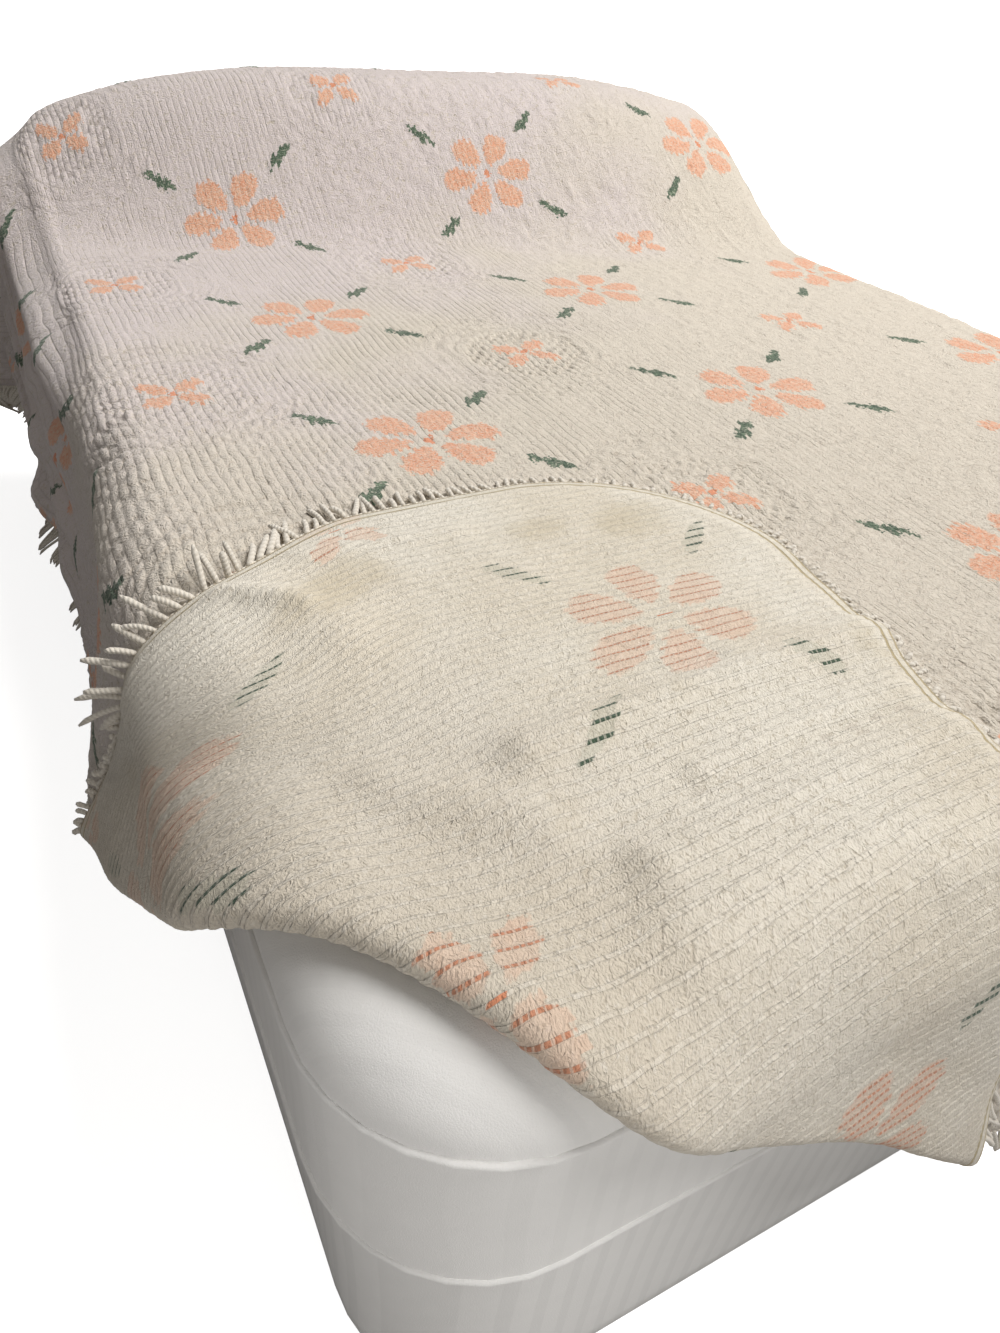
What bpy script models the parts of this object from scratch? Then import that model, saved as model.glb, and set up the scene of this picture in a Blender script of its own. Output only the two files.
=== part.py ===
"""A chenille bedspread on a bed, its near left corner turned back over the top.

The spread is one sheet. It lies over a mattress and two pillows, hangs down
on four sides, and its corner at the left of the foot is folded over, wrong
side up, along a line at 45 degrees. Twisted fringe edges three sides.

The cloth is worked out on an unrolled plane: a point (x, y) on the plan of
the bed, where a point past the mattress's edge is that far down its side.
"""

import math

import bmesh
import bpy
import numpy as np
from mathutils import Vector
from mathutils.geometry import delaunay_2d_cdt

# Driving dimensions, in metres. X runs across the bed, Y to its head, Z up.
BED_WIDTH = 1.400
BED_LENGTH = 1.900
BASE_HEIGHT = 0.290
BASE_INSET = 0.012
MATTRESS_HEIGHT = 0.260
MATTRESS_CORNER = 0.140
MATTRESS_ROLL = 0.062
GAP = 0.0005

SHEET_THICKNESS = 0.003
CLEAR = 0.0025
SIDE_HEM = 1.101
FOOT_HEM = 1.293
HEAD_HEM = 1.290
HEM_CORNER = 0.227
HEAD_CORNER = 0.030
EDGE_ROLL = 0.072

# The turned-back corner: the fold lies where x + y = -FOLD_SUM.
FOLD_SUM = 1.464
FOLD_RADIUS = 0.010
LAYER_RISE = 0.013
LAYER_SETTLE = 0.070
FLAP_SLIP = 0.058
FLAP_DRAG = 0.085
FOLD_BULGE = 0.038

# The pillows' mound under the cloth.
MOUND_HEIGHT = 0.230
MOUND_FALL = 0.33
PILLOW_BACK = 0.925

# How the sides hang.
SIDE_SLOPE = 0.13
CORNER_SLOPE = 0.26
WAVE_DEPTH = 0.020
PLEAT_DEPTH = 0.045
LIFT_SLOPE = 0.11
LIFT_BELLY = 0.016
LIFT_SHARE = 0.33

STRAND_PITCH = 0.031
STRAND_LENGTH = 0.045
STRAND_WIDTH = 0.008
STRIP_WIDTH = 0.004
STRIP_GAP = 0.0025
FOLD_BREAK = 0.045
FRINGE_BREAK = 0.003

TOP = BASE_HEIGHT + MATTRESS_HEIGHT + CLEAR + SHEET_THICKNESS / 2
HALF = np.array([BED_WIDTH, BED_LENGTH]) / 2
INNER = HALF - MATTRESS_CORNER
HEM_SIDE = HEAD_HEM + FOOT_HEM - HEM_CORNER
HEM_ARC = HEM_CORNER * math.pi / 2
HEM_LENGTH = 2 * (HEM_SIDE + HEM_ARC + SIDE_HEM - HEM_CORNER)

# Soft ridges dragged across the turned-back corner, with troughs between them.
FLAP_FOLDS = (
    # x0, y0, x1, y1, half width, height
    (-0.52, -0.77, -0.20, -0.75, 0.060, 0.008),
    (-0.47, -0.90, -0.20, -0.88, 0.040, 0.012),
    (-0.61, -0.47, -0.57, -0.55, 0.035, 0.008),
)


def smooth(t):
    """Soft step from 0 to 1 as t goes from 0 to 1."""
    t = np.clip(t, 0, 1)
    return t * t * (3 - 2 * t)


def mound_start(x):
    """Where the cloth starts to rise over the pillows, which lie a little askew."""
    return 0.475 - 0.24 * x


def mound(x, y):
    """Rise of the cloth over the pillows."""
    run = 0.360 + 0.14 * x
    fall = MOUND_FALL - 0.10 * x / HALF[0]
    height = MOUND_HEIGHT * (1 - fall * np.abs(x / HALF[0]) ** 3.5)
    return height * smooth((y - mound_start(x)) / run)


def lumps(x, y):
    """Small unevenness of the cloth on the mattress."""
    return 0.0015 * (
        3
        + np.sin(9.1 * x + 3.7 * y + 0.4)
        + np.sin(5.3 * y - 7.9 * x + 1.9)
        + np.sin(14.3 * y + 2.2 * x)
    )


def hang_wave(u):
    """Uneven folds along a hanging side, between about -1 and 1."""
    return (
        0.50 * np.sin(13.7 * u + 0.7)
        + 0.35 * np.sin(23.3 * u + 2.1)
        + 0.15 * np.sin(31.0 * u + 5.0)
    )


def lifted(x, y):
    """How far the left side is drawn up by the turned-back corner, 0 to 1."""
    return smooth((-0.09 - y) / 0.22) * smooth((-x - 0.46) / 0.15)


def drape(x, y, rise):
    """Place on the bed of points (x, y) of the unrolled plane, raised by rise."""
    near_x = np.clip(x, -INNER[0], INNER[0])
    near_y = np.clip(y, -INNER[1], INNER[1])
    off_x = x - near_x
    off_y = y - near_y
    reach = np.hypot(off_x, off_y)
    safe = np.maximum(reach, 1e-9)
    dir_x = off_x / safe
    dir_y = off_y / safe
    start = MATTRESS_CORNER - MATTRESS_ROLL
    past = np.maximum(reach - start, 0)
    bend = np.minimum(past / EDGE_ROLL, math.pi / 2)
    run = np.maximum(past - EDGE_ROLL * math.pi / 2, 0)

    corner = (2 * dir_x * dir_y) ** 2
    lift = lifted(x, y)
    run = run * (1 - LIFT_SHARE * lift * run / (SIDE_HEM - HALF[0]))
    slope = SIDE_SLOPE + CORNER_SLOPE * corner + LIFT_SLOPE * lift
    depth = np.clip(run / 0.35, 0, 1.6)
    side_wave = hang_wave(near_y) * dir_x**2 + hang_wave(near_x + 7) * dir_y**2
    angle = np.arctan2(off_y, off_x)
    pleats = corner * np.cos(12 * angle)
    wave = depth * (WAVE_DEPTH * side_wave * (1 - corner) + PLEAT_DEPTH * pleats)

    lean = slope / np.sqrt(1 + slope**2)
    belly = LIFT_BELLY * lift * np.sin(bend) ** 2
    out = (EDGE_ROLL + rise) * np.sin(bend) + run * lean + wave + belly
    down = EDGE_ROLL * (1 - np.cos(bend)) + run * np.sqrt(1 - lean**2)
    level = np.minimum(reach, start)
    edge_x = near_x + dir_x * level
    edge_y = near_y + dir_y * level
    top = TOP + mound(edge_x, edge_y) + lumps(edge_x, edge_y) * np.cos(bend)
    return np.stack(
        [
            edge_x + dir_x * out * (reach > start),
            edge_y + dir_y * out * (reach > start),
            top - down + rise * np.cos(bend),
        ],
        axis=-1,
    )


def flap_folds(x, y):
    """Height of the soft folds across the turned-back corner."""
    height = np.zeros_like(x)
    for x0, y0, x1, y1, width, rise in FLAP_FOLDS:
        along = np.array([x1 - x0, y1 - y0])
        length = np.hypot(*along)
        along = along / length
        u = (x - x0) * along[0] + (y - y0) * along[1]
        v = (x - x0) * -along[1] + (y - y0) * along[0]
        ends = np.maximum(np.maximum(-u, u - length), 0)
        height = height + rise * np.exp(-(v**2 + ends**2) / width**2)
    return height


def flap_slip(y):
    """How far the turned-back corner is dragged across the bed at y."""
    return FLAP_SLIP * smooth((y + 0.86) / 0.33)


def flap_drag(x):
    """How far the turned-back corner is dragged towards the foot at x."""
    return FLAP_DRAG * smooth((-x - 0.49) / 0.22)


def cloth(x, y, rise=0.0):
    """Place of the point (x, y) of the flat cloth, raised off its front by rise."""
    across = (x + y + FOLD_SUM) / math.sqrt(2)
    turn = FOLD_RADIUS * math.pi / 2
    angle = np.clip(across / FOLD_RADIUS, -math.pi / 2, math.pi / 2)
    in_turn = np.abs(across) < turn
    turned = across < 0
    place = np.where(in_turn, turn - FOLD_RADIUS * np.cos(angle), np.abs(across))
    shift = (place - across) / math.sqrt(2)
    px = x + shift
    py = y + shift
    beyond = np.maximum(-across - turn, 0)
    settle = smooth(beyond / LAYER_SETTLE)
    bulge = FOLD_BULGE * np.exp(-(((px - py) / math.sqrt(2) - 0.29) / 0.16) ** 2)
    bulge = bulge * (1 - smooth(place / 0.30)) / math.sqrt(2)
    px = px + settle * flap_slip(py) - bulge
    py = py - smooth(beyond / 0.20) * flap_drag(px) - bulge
    up = FOLD_RADIUS * (1 - np.sin(angle))
    up = up + settle * (LAYER_RISE - 2 * FOLD_RADIUS)
    flat_part = smooth(beyond / 0.06)
    up = up + flat_part * flap_folds(px, py)
    facing = np.where(in_turn, np.sin(angle), np.where(turned, -1.0, 1.0))
    return drape(px, py, up + facing * rise)


def cloth_normal(x, y):
    """Direction of the cloth's front at the point (x, y) of the flat cloth."""
    step = 0.0015
    along_x = cloth(x + step, y) - cloth(x - step, y)
    along_y = cloth(x, y + step) - cloth(x, y - step)
    normal = np.cross(along_x, along_y)
    return normal / np.linalg.norm(normal, axis=-1, keepdims=True)


def stations(start, stop, step):
    """Evenly spaced values from start up to, but without, stop."""
    count = max(1, round((stop - start) / step))
    return np.linspace(start, stop, count + 1)[:-1]


def grid_lines(low_hem, high_hem, half):
    """Grid lines across the cloth, closer together where it rolls over an edge."""
    roll_start = half - MATTRESS_ROLL
    roll_end = roll_start + EDGE_ROLL * math.pi / 2
    spans = (
        (-low_hem, -roll_end, 0.056),
        (-roll_end, -roll_start, 0.030),
        (-roll_start, roll_start, 0.066),
        (roll_start, roll_end, 0.030),
        (roll_end, high_hem, 0.056),
    )
    lines = [stations(*span) for span in spans]
    return np.concatenate([*lines, [high_hem]])


def corner_arc(centre, radius, start, count):
    """Points of a quarter circle, without its ends, in the order of growing angle."""
    angles = start + np.linspace(0, math.pi / 2, count + 1)[1:-1]
    return centre + radius * np.stack([np.cos(angles), np.sin(angles)], axis=-1)


def cloth_outline(x_lines, y_lines):
    """Points round the cut cloth, anticlockwise from the head end of its left side."""
    side = SIDE_HEM
    soft = HEM_CORNER
    small = HEAD_CORNER
    left_y = y_lines[(y_lines > -FOOT_HEM + soft) & (y_lines < HEAD_HEM - small)]
    foot_x = x_lines[np.abs(x_lines) < SIDE_HEM - soft]
    head_x = x_lines[np.abs(x_lines) < SIDE_HEM - small]
    ends = np.array([-FOOT_HEM + soft, HEAD_HEM - small])
    left_y = np.unique(np.concatenate([left_y, ends]).round(6))
    foot_x = np.unique(np.concatenate([foot_x, [soft - SIDE_HEM, SIDE_HEM - soft]]).round(6))
    head_x = np.unique(np.concatenate([head_x, [small - SIDE_HEM, SIDE_HEM - small]]).round(6))
    parts = [
        [(-side, y) for y in left_y[::-1]],
        corner_arc((soft - SIDE_HEM, soft - FOOT_HEM), soft, math.pi, 6),
        [(x, -FOOT_HEM) for x in foot_x],
        corner_arc((SIDE_HEM - soft, soft - FOOT_HEM), soft, 1.5 * math.pi, 6),
        [(side, y) for y in left_y],
        corner_arc((SIDE_HEM - small, HEAD_HEM - small), small, 0, 2),
        [(x, HEAD_HEM) for x in head_x[::-1]],
        corner_arc((small - SIDE_HEM, HEAD_HEM - small), small, math.pi / 2, 2),
    ]
    corners = np.concatenate([np.asarray(part) for part in parts])
    middles = (corners + np.roll(corners, -1, axis=0)) / 2
    return np.stack([corners, middles], axis=1).reshape(-1, 2)


def in_cloth(x, y, margin):
    """Whether points lie inside the cut cloth, at least margin from its edge."""
    side = SIDE_HEM - margin
    inside = (np.abs(x) < side) & (y > margin - FOOT_HEM) & (y < HEAD_HEM - margin)
    off_x = np.maximum(np.abs(x) - (SIDE_HEM - HEM_CORNER), 0)
    off_y = np.maximum(-y - (FOOT_HEM - HEM_CORNER), 0)
    return inside & (np.hypot(off_x, off_y) < HEM_CORNER - margin)


def fold_lines():
    """Rows of points along the fold, close enough together to round it."""
    turn = FOLD_RADIUS * math.pi / 2
    rows = np.array([-2.9, -1.7, -1.0, -0.6, -0.2, 0.2, 0.6, 1.0, 1.7, 2.9]) * turn
    half_length = 1.0
    places = np.linspace(-half_length, half_length, 45)
    points = []
    for index, row in enumerate(rows):
        offset = 0.5 * (places[1] - places[0]) * (index % 2)
        along = places + offset
        middle = (row - FOLD_SUM / math.sqrt(2)) / math.sqrt(2)
        x = middle + along / math.sqrt(2)
        y = middle - along / math.sqrt(2)
        points.append(np.stack([x, y], axis=-1))
    band = 3.6 * turn
    return np.concatenate(points), band, rows


def triangulate(points, outline):
    """Triangles between the points inside the outline, as rows of indexes."""
    every = np.concatenate([outline, points])
    count = len(outline)
    edges = [(i, (i + 1) % count) for i in range(count)]
    vectors = [Vector((float(x), float(y))) for x, y in every]
    flat, _, faces, _, _, _ = delaunay_2d_cdt(vectors, edges, [], 1, 1e-5)
    places = np.array([tuple(v) for v in flat])
    triangles = np.array([tuple(face) for face in faces])
    a, b, c = (places[triangles[:, i]] for i in range(3))
    area = np.cross(b - a, c - a)
    triangles[area < 0] = triangles[area < 0][:, ::-1]
    return places, triangles


def rim_edges(triangles):
    """Edges that belong to one triangle only, in that triangle's direction."""
    ends = np.concatenate([triangles[:, [0, 1]], triangles[:, [1, 2]], triangles[:, [2, 0]]])
    key = np.sort(ends, axis=1)
    _, index, count = np.unique(key, axis=0, return_inverse=True, return_counts=True)
    return ends[count[index.reshape(-1)] == 1]


def material(name, colour, roughness):
    """A plain Principled material."""
    made = bpy.data.materials.new(name)
    made.use_nodes = True
    shader = made.node_tree.nodes["Principled BSDF"]
    shader.inputs["Base Color"].default_value = (*colour, 1.0)
    shader.inputs["Roughness"].default_value = roughness
    shader.inputs["Metallic"].default_value = 0.0
    made.diffuse_color = (*colour, 1.0)
    return made


def add_object(name, mesh, look):
    """Object of a mesh with its material."""
    made = bpy.data.objects.new(name, mesh)
    mesh.materials.append(look)
    bpy.context.scene.collection.objects.link(made)
    return made


def mesh_from(name, points, faces):
    """Mesh with these corners and faces, smooth apart from its sharp edges."""
    mesh = bpy.data.meshes.new(name)
    mesh.from_pydata([tuple(p) for p in points], [], [tuple(map(int, f)) for f in faces])
    mesh.shade_smooth()
    mesh.set_sharp_from_angle(angle=math.radians(40))
    return mesh


def make_bedspread(look):
    """The spread as one thin closed sheet."""
    x_lines = grid_lines(SIDE_HEM, SIDE_HEM, HALF[0])
    y_lines = grid_lines(FOOT_HEM, HEAD_HEM, HALF[1])
    outline = cloth_outline(x_lines, y_lines)
    grid = np.stack(np.meshgrid(x_lines, y_lines), axis=-1).reshape(-1, 2)
    fold, band, rows = fold_lines()
    distance = np.abs(grid.sum(axis=1) + FOLD_SUM) / math.sqrt(2)
    keep = in_cloth(grid[:, 0], grid[:, 1], 0.014) & (distance > band)
    base = grid[keep & (grid.sum(axis=1) > -FOLD_SUM)]
    over = grid[(distance > band) & (grid.sum(axis=1) > -FOLD_SUM)]
    slip = flap_slip(over[:, 1])
    flap = np.stack([-FOLD_SUM - over[:, 1], -FOLD_SUM - over[:, 0] + slip], axis=-1)
    clear = (flap.sum(axis=1) + FOLD_SUM) / math.sqrt(2) < -band
    flap = flap[clear & in_cloth(flap[:, 0], flap[:, 1], 0.014)]
    fold = fold[in_cloth(fold[:, 0], fold[:, 1], 0.008)]
    rim = outline_with_fold(outline, rows)
    flat, triangles = triangulate(np.concatenate([base, flap, fold]), rim)
    middle = cloth(flat[:, 0], flat[:, 1])
    normal = cloth_normal(flat[:, 0], flat[:, 1])
    front = middle + normal * SHEET_THICKNESS / 2
    back = middle - normal * SHEET_THICKNESS / 2
    count = len(flat)
    edge = rim_edges(triangles)
    walls = np.stack([edge[:, 1], edge[:, 0], edge[:, 0] + count, edge[:, 1] + count], axis=1)
    faces = [*triangles, *(triangles[:, ::-1] + count), *walls]
    return add_object("bedspread", mesh_from("bedspread", np.concatenate([front, back]), faces), look)


def outline_with_fold(outline, rows):
    """The outline with its edges split where the rows along the fold cross it."""
    points = []
    for start, end in zip(outline, np.roll(outline, -1, axis=0)):
        points.append(start)
        first = (start.sum() + FOLD_SUM) / math.sqrt(2)
        last = (end.sum() + FOLD_SUM) / math.sqrt(2)
        if first == last:
            continue
        shares = [(row - first) / (last - first) for row in rows]
        for share in sorted(s for s in shares if 0.02 < s < 0.98):
            points.append(start + (end - start) * share)
    return np.array(points)


def hem_place(length):
    """Place and outward direction on the hem, this far round it.

    The length runs down the left side from the head, round the turned corner,
    along the foot, round the right corner and up the right side.
    """
    if length > HEM_LENGTH / 2:
        (x, y), (out_x, out_y) = hem_place(HEM_LENGTH - length)
        return (-x, y), (-out_x, out_y)
    if length < HEM_SIDE:
        return (-SIDE_HEM, HEAD_HEM - length), (-1.0, 0.0)
    if length < HEM_SIDE + HEM_ARC:
        angle = math.pi + (length - HEM_SIDE) / HEM_CORNER
        out = (math.cos(angle), math.sin(angle))
        x = HEM_CORNER - SIDE_HEM + HEM_CORNER * out[0]
        y = HEM_CORNER - FOOT_HEM + HEM_CORNER * out[1]
        return (x, y), out
    along = length - HEM_SIDE - HEM_ARC
    return (HEM_CORNER - SIDE_HEM + along, -FOOT_HEM), (0.0, -1.0)


def strand_cuts(start, end):
    """Lengths round the hem where the strip is cut: its ends and both sides of each strand."""
    count = round((end - start) / STRAND_PITCH)
    pitch = (end - start) / count
    middles = start + pitch * (np.arange(count) + 0.5)
    half = STRAND_WIDTH / 2
    cuts = np.stack([middles - half, middles + half], axis=-1).reshape(-1)
    return np.concatenate([[start], cuts, [end]])


def make_fringe(name, start, end, look, seed):
    """A run of fringe: a narrow strip along the hem with strands hanging from it."""
    cuts = strand_cuts(start, end)
    spots = [hem_place(length) for length in cuts]
    place = np.array([spot[0] for spot in spots])
    out = np.array([spot[1] for spot in spots])
    near = place + out * STRIP_GAP
    far = place + out * (STRIP_GAP + STRIP_WIDTH)
    half = SHEET_THICKNESS / 2

    def section(flat):
        middle = cloth(flat[:, 0], flat[:, 1])
        normal = cloth_normal(flat[:, 0], flat[:, 1])
        return middle + normal * half, middle - normal * half

    near_front, near_back = section(near)
    far_front, far_back = section(far)
    maker = bmesh.new()
    corners = [
        [maker.verts.new(p) for p in ring]
        for ring in (near_front, far_front, far_back, near_back)
    ]
    for i in range(len(cuts) - 1):
        for side in range(4):
            is_root = side == 1 and i % 2 == 1
            if not is_root:
                a, b = corners[side], corners[(side + 1) % 4]
                maker.faces.new((a[i], b[i], b[i + 1], a[i + 1]))
    maker.faces.new([ring[0] for ring in reversed(corners)])
    maker.faces.new([ring[-1] for ring in corners])
    random = np.random.default_rng(seed)
    for i in range(1, len(cuts) - 1, 2):
        root = (corners[1][i], corners[2][i], corners[2][i + 1], corners[1][i + 1])
        flat = (far[i] + far[i + 1]) / 2
        way = (out[i] + out[i + 1]) / 2
        add_strand(maker, root, flat, way, random)
    bmesh.ops.recalc_face_normals(maker, faces=maker.faces)
    mesh = bpy.data.meshes.new(name)
    maker.to_mesh(mesh)
    maker.free()
    return add_object(name, mesh, look)


def add_strand(maker, root, flat, way, random):
    """One strand, from its root's four corners on the strip to its tip."""
    side = np.array([-way[1], way[0]])
    turned = flat.sum() < -FOLD_SUM
    over = np.array([-FOLD_SUM - flat[1], -FOLD_SUM - flat[0]]) if turned else flat
    droop = np.zeros(2)
    if turned and over[0] < -HALF[0] + 0.03:
        droop = np.array([0.0, 1.5])
    if turned and over[1] < -HALF[1] + 0.03:
        droop = np.array([1.5, 0.0])
    heading = way + droop + side * random.uniform(-0.12, 0.12)
    heading = heading / np.linalg.norm(heading)
    tip = flat + heading * STRAND_LENGTH * random.uniform(0.85, 1.0)
    cross = np.array([-heading[1], heading[0]])
    half = STRAND_WIDTH * 0.35
    ends = np.array([tip - cross * half, tip + cross * half])
    first = np.array(root[0].co)
    if np.dot(np.array(root[3].co) - first, cloth(*ends[1]) - cloth(*ends[0])) < 0:
        ends = ends[::-1]
    middle = cloth(ends[:, 0], ends[:, 1])
    normal = cloth_normal(ends[:, 0], ends[:, 1])
    thick = SHEET_THICKNESS * 0.4
    front = middle + normal * thick
    back = middle - normal * thick
    tips = [maker.verts.new(p) for p in (front[0], back[0], back[1], front[1])]
    for i in range(4):
        j = (i + 1) % 4
        maker.faces.new((root[i], root[j], tips[j], tips[i]))
    maker.faces.new(tips)


def rounded_slab(name, size, corner, roll_top, roll_bottom, bottom, look):
    """An upright block with rounded corners and rolled top and bottom edges."""
    half = np.array(size[:2]) / 2 - corner
    angles = np.linspace(0, math.pi / 2, 6)
    quadrants = []
    for turn, (sx, sy) in enumerate(((1, 1), (-1, 1), (-1, -1), (1, -1))):
        heading = angles + turn * math.pi / 2
        centre = np.array([sx * half[0], sy * half[1]])
        way = np.stack([np.cos(heading), np.sin(heading)], axis=-1)
        quadrants.append((centre, way))
    rings = []
    for roll, base, sign in ((roll_bottom, bottom, -1), (roll_top, bottom + size[2], 1)):
        for tilt in np.linspace(math.pi / 2, 0, 4)[:: -sign]:
            inward = roll * (1 - math.cos(tilt))
            z = base - sign * roll * (1 - math.sin(tilt))
            ring = [centre + way * (corner - inward) for centre, way in quadrants]
            rings.append([(x, y, z) for x, y in np.concatenate(ring)])
    count = len(rings[0])
    points = np.concatenate([np.array(ring) for ring in rings])
    faces = []
    for level in range(len(rings) - 1):
        for i in range(count):
            j = (i + 1) % count
            low, high = level * count, (level + 1) * count
            faces.append((low + i, low + j, high + j, high + i))
    faces.append(tuple(range(count))[::-1])
    faces.append(tuple(range((len(rings) - 1) * count, len(points))))
    return add_object(name, mesh_from(name, points, faces), look)


def make_pillow(name, left, right, look):
    """A filled pillow under the cloth: flat below, crowned above, thin at its rim."""
    across = np.sin(np.linspace(-math.pi / 2, math.pi / 2, 13))
    deep = np.sin(np.linspace(-math.pi / 2, math.pi / 2, 9))
    u, v = np.meshgrid(across, deep)
    pinch = 1 - 0.05 * (1 - u**2) * np.abs(v) - 0.04 * (1 - v**2) * np.abs(u)
    x = (left + right) / 2 + u * pinch * (right - left) / 2
    front = mound_start(x) + 0.06
    back = PILLOW_BACK
    y = (front + back) / 2 + v * pinch * (back - front) / 2
    crown = ((1 - u**4) * (1 - v**4)) ** 0.5
    floor = BASE_HEIGHT + MATTRESS_HEIGHT + 2 * GAP
    room = np.maximum(mound(x, y) - 0.012, 0.003)
    low = np.stack([x, y, np.full_like(x, floor)], axis=-1).reshape(-1, 3)
    high = np.stack([x, y, floor + 0.002 + (room - 0.002) * crown], axis=-1).reshape(-1, 3)
    rows, columns = u.shape
    count = rows * columns
    index = np.arange(count).reshape(rows, columns)
    faces = []
    for r in range(rows - 1):
        for c in range(columns - 1):
            quad = (index[r, c], index[r, c + 1], index[r + 1, c + 1], index[r + 1, c])
            faces.append(tuple(i + count for i in quad))
            faces.append(quad[::-1])
    rim = [*index[0, :-1], *index[:-1, -1], *index[-1, :0:-1], *index[:0:-1, 0]]
    for i, j in zip(rim, [*rim[1:], rim[0]]):
        faces.append((i, j, j + count, i + count))
    return add_object(name, mesh_from(name, np.concatenate([low, high]), faces), look)


def centre_on_floor(objects):
    """Moves the whole bed so that the middle of its footprint is the origin."""
    corners = np.array([v.co for made in objects for v in made.data.vertices])
    middle = (corners.min(axis=0) + corners.max(axis=0)) / 2
    for made in objects:
        made.location = (-middle[0], -middle[1], 0.0)


def main():
    for old in list(bpy.data.objects):
        bpy.data.objects.remove(old)
    chenille = material("chenille", (0.72, 0.66, 0.58), 0.95)
    yarn = material("fringe_yarn", (0.70, 0.65, 0.58), 0.95)
    ticking = material("ticking", (0.80, 0.79, 0.76), 0.90)
    cover = material("base_cover", (0.62, 0.60, 0.57), 0.90)
    linen = material("pillow_linen", (0.82, 0.81, 0.78), 0.90)

    base_size = (BED_WIDTH - 2 * BASE_INSET, BED_LENGTH - 2 * BASE_INSET, BASE_HEIGHT - GAP)
    mattress_size = (BED_WIDTH, BED_LENGTH, MATTRESS_HEIGHT)
    objects = [
        rounded_slab("bed_base", base_size, MATTRESS_CORNER, 0.008, 0.004, 0.0, cover),
        rounded_slab(
            "mattress", mattress_size, MATTRESS_CORNER, MATTRESS_ROLL, 0.02, BASE_HEIGHT, ticking
        ),
        make_pillow("pillow_left", -0.640, -0.012, linen),
        make_pillow("pillow_right", 0.012, 0.640, linen),
        make_bedspread(chenille),
    ]
    left_fold = HEAD_HEM + FOLD_SUM - SIDE_HEM
    foot_fold = HEM_LENGTH / 2 - (FOLD_SUM - FOOT_HEM)
    right_corner = HEM_LENGTH - HEM_SIDE - HEM_ARC
    head_end = HEAD_CORNER + FRINGE_BREAK
    runs = (
        ("fringe_left", head_end, left_fold - FOLD_BREAK),
        ("fringe_flap", left_fold + FOLD_BREAK, foot_fold - FOLD_BREAK),
        ("fringe_foot", foot_fold + FOLD_BREAK, right_corner - FRINGE_BREAK),
        ("fringe_right", right_corner + FRINGE_BREAK, HEM_LENGTH - head_end),
    )
    for seed, (name, start, end) in enumerate(runs):
        objects.append(make_fringe(name, start, end, yarn, seed))
    centre_on_floor(objects)


main()
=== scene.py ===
"""A tufted chenille bedspread over a bed, with one corner turned back.

The cloth is worked out on its flat cut: a point (x, y), in metres, is carried
to its place on the bed, and the tufts, motifs and stitches are laid out on the
same flat coordinates, which are also every cloth piece's UV map.
"""

import logging
import math
from dataclasses import dataclass
from enum import Enum

import bpy
import numpy as np
from mathutils import Matrix, Vector
from numpy.lib.mixins import NDArrayOperatorsMixin


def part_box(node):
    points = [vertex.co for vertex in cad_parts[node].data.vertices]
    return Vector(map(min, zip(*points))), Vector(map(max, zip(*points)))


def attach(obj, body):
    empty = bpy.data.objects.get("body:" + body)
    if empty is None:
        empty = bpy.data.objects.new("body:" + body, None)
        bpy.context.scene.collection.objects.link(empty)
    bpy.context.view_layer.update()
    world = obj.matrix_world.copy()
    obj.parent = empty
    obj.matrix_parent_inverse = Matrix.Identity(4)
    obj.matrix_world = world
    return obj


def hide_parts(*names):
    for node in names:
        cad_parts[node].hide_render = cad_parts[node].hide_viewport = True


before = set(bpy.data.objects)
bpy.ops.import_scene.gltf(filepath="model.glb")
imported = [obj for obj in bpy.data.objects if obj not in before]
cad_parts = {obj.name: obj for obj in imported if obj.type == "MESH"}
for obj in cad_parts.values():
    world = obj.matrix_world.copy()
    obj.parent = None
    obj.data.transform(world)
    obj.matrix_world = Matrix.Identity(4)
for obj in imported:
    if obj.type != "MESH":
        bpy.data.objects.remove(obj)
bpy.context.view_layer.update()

LOG = logging.getLogger("bedspread")
Array = np.ndarray
ROOT2 = math.sqrt(2)
FLAT_MAP = "flat"


class Face(Enum):
    """The two faces of the cloth, as the sign of the way off its middle."""

    FRONT = 1.0
    BACK = -1.0


def smooth(t: Array) -> Array:
    """Soft step: 3t^2 - 2t^3, with t held between 0 and 1."""
    t = np.clip(t, 0, 1)
    return t * t * (3 - 2 * t)


def ramp(value: Array, low: float, high: float) -> Array:
    """Soft step of a value from 0 at low to 1 at high; high may be the smaller."""
    return smooth((value - low) / (high - low))


def blend(first: Array, second: Array, share: Array) -> Array:
    """The first turned into the second by a share from 0 to 1."""
    return first + (second - first) * share


def fraction(value: Array) -> Array:
    """What a value has above the whole number below it."""
    return value - np.floor(value)


def off_middle(value: Array) -> Array:
    """Distance of a value from the middle between the whole numbers beside it."""
    return np.abs(fraction(value) - 0.5)


def unit(ways: Array) -> Array:
    """Vectors of length 1 along the given ones."""
    return ways / np.maximum(np.linalg.norm(ways, axis=-1, keepdims=True), 1e-12)


def value_noise(x: Array, y: Array, size: float, seed: int) -> Array:
    """Smooth random field between 0 and 1.

    Random values stand on a square lattice, and a place between them takes
    their mix, weighted by the soft step of its share of the cell.

    Args:
        x: Places across, in metres.
        y: Places along, in metres.
        size: Width of a lattice cell, in metres.
        seed: Start of the random numbers.

    Returns:
        The field at each place.
    """
    table = np.random.default_rng(seed).random((256, 256))
    u, v = smooth(fraction(x / size)), smooth(fraction(y / size))
    c0, r0 = (np.floor(along / size).astype(int) % 256 for along in (x, y))
    c1, r1 = (c0 + 1) % 256, (r0 + 1) % 256
    low, high = blend(table[r0, c0], table[r0, c1], u), blend(table[r1, c0], table[r1, c1], u)
    return blend(low, high, v)


# ---------------------------------------------------------------- the cloth


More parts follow.
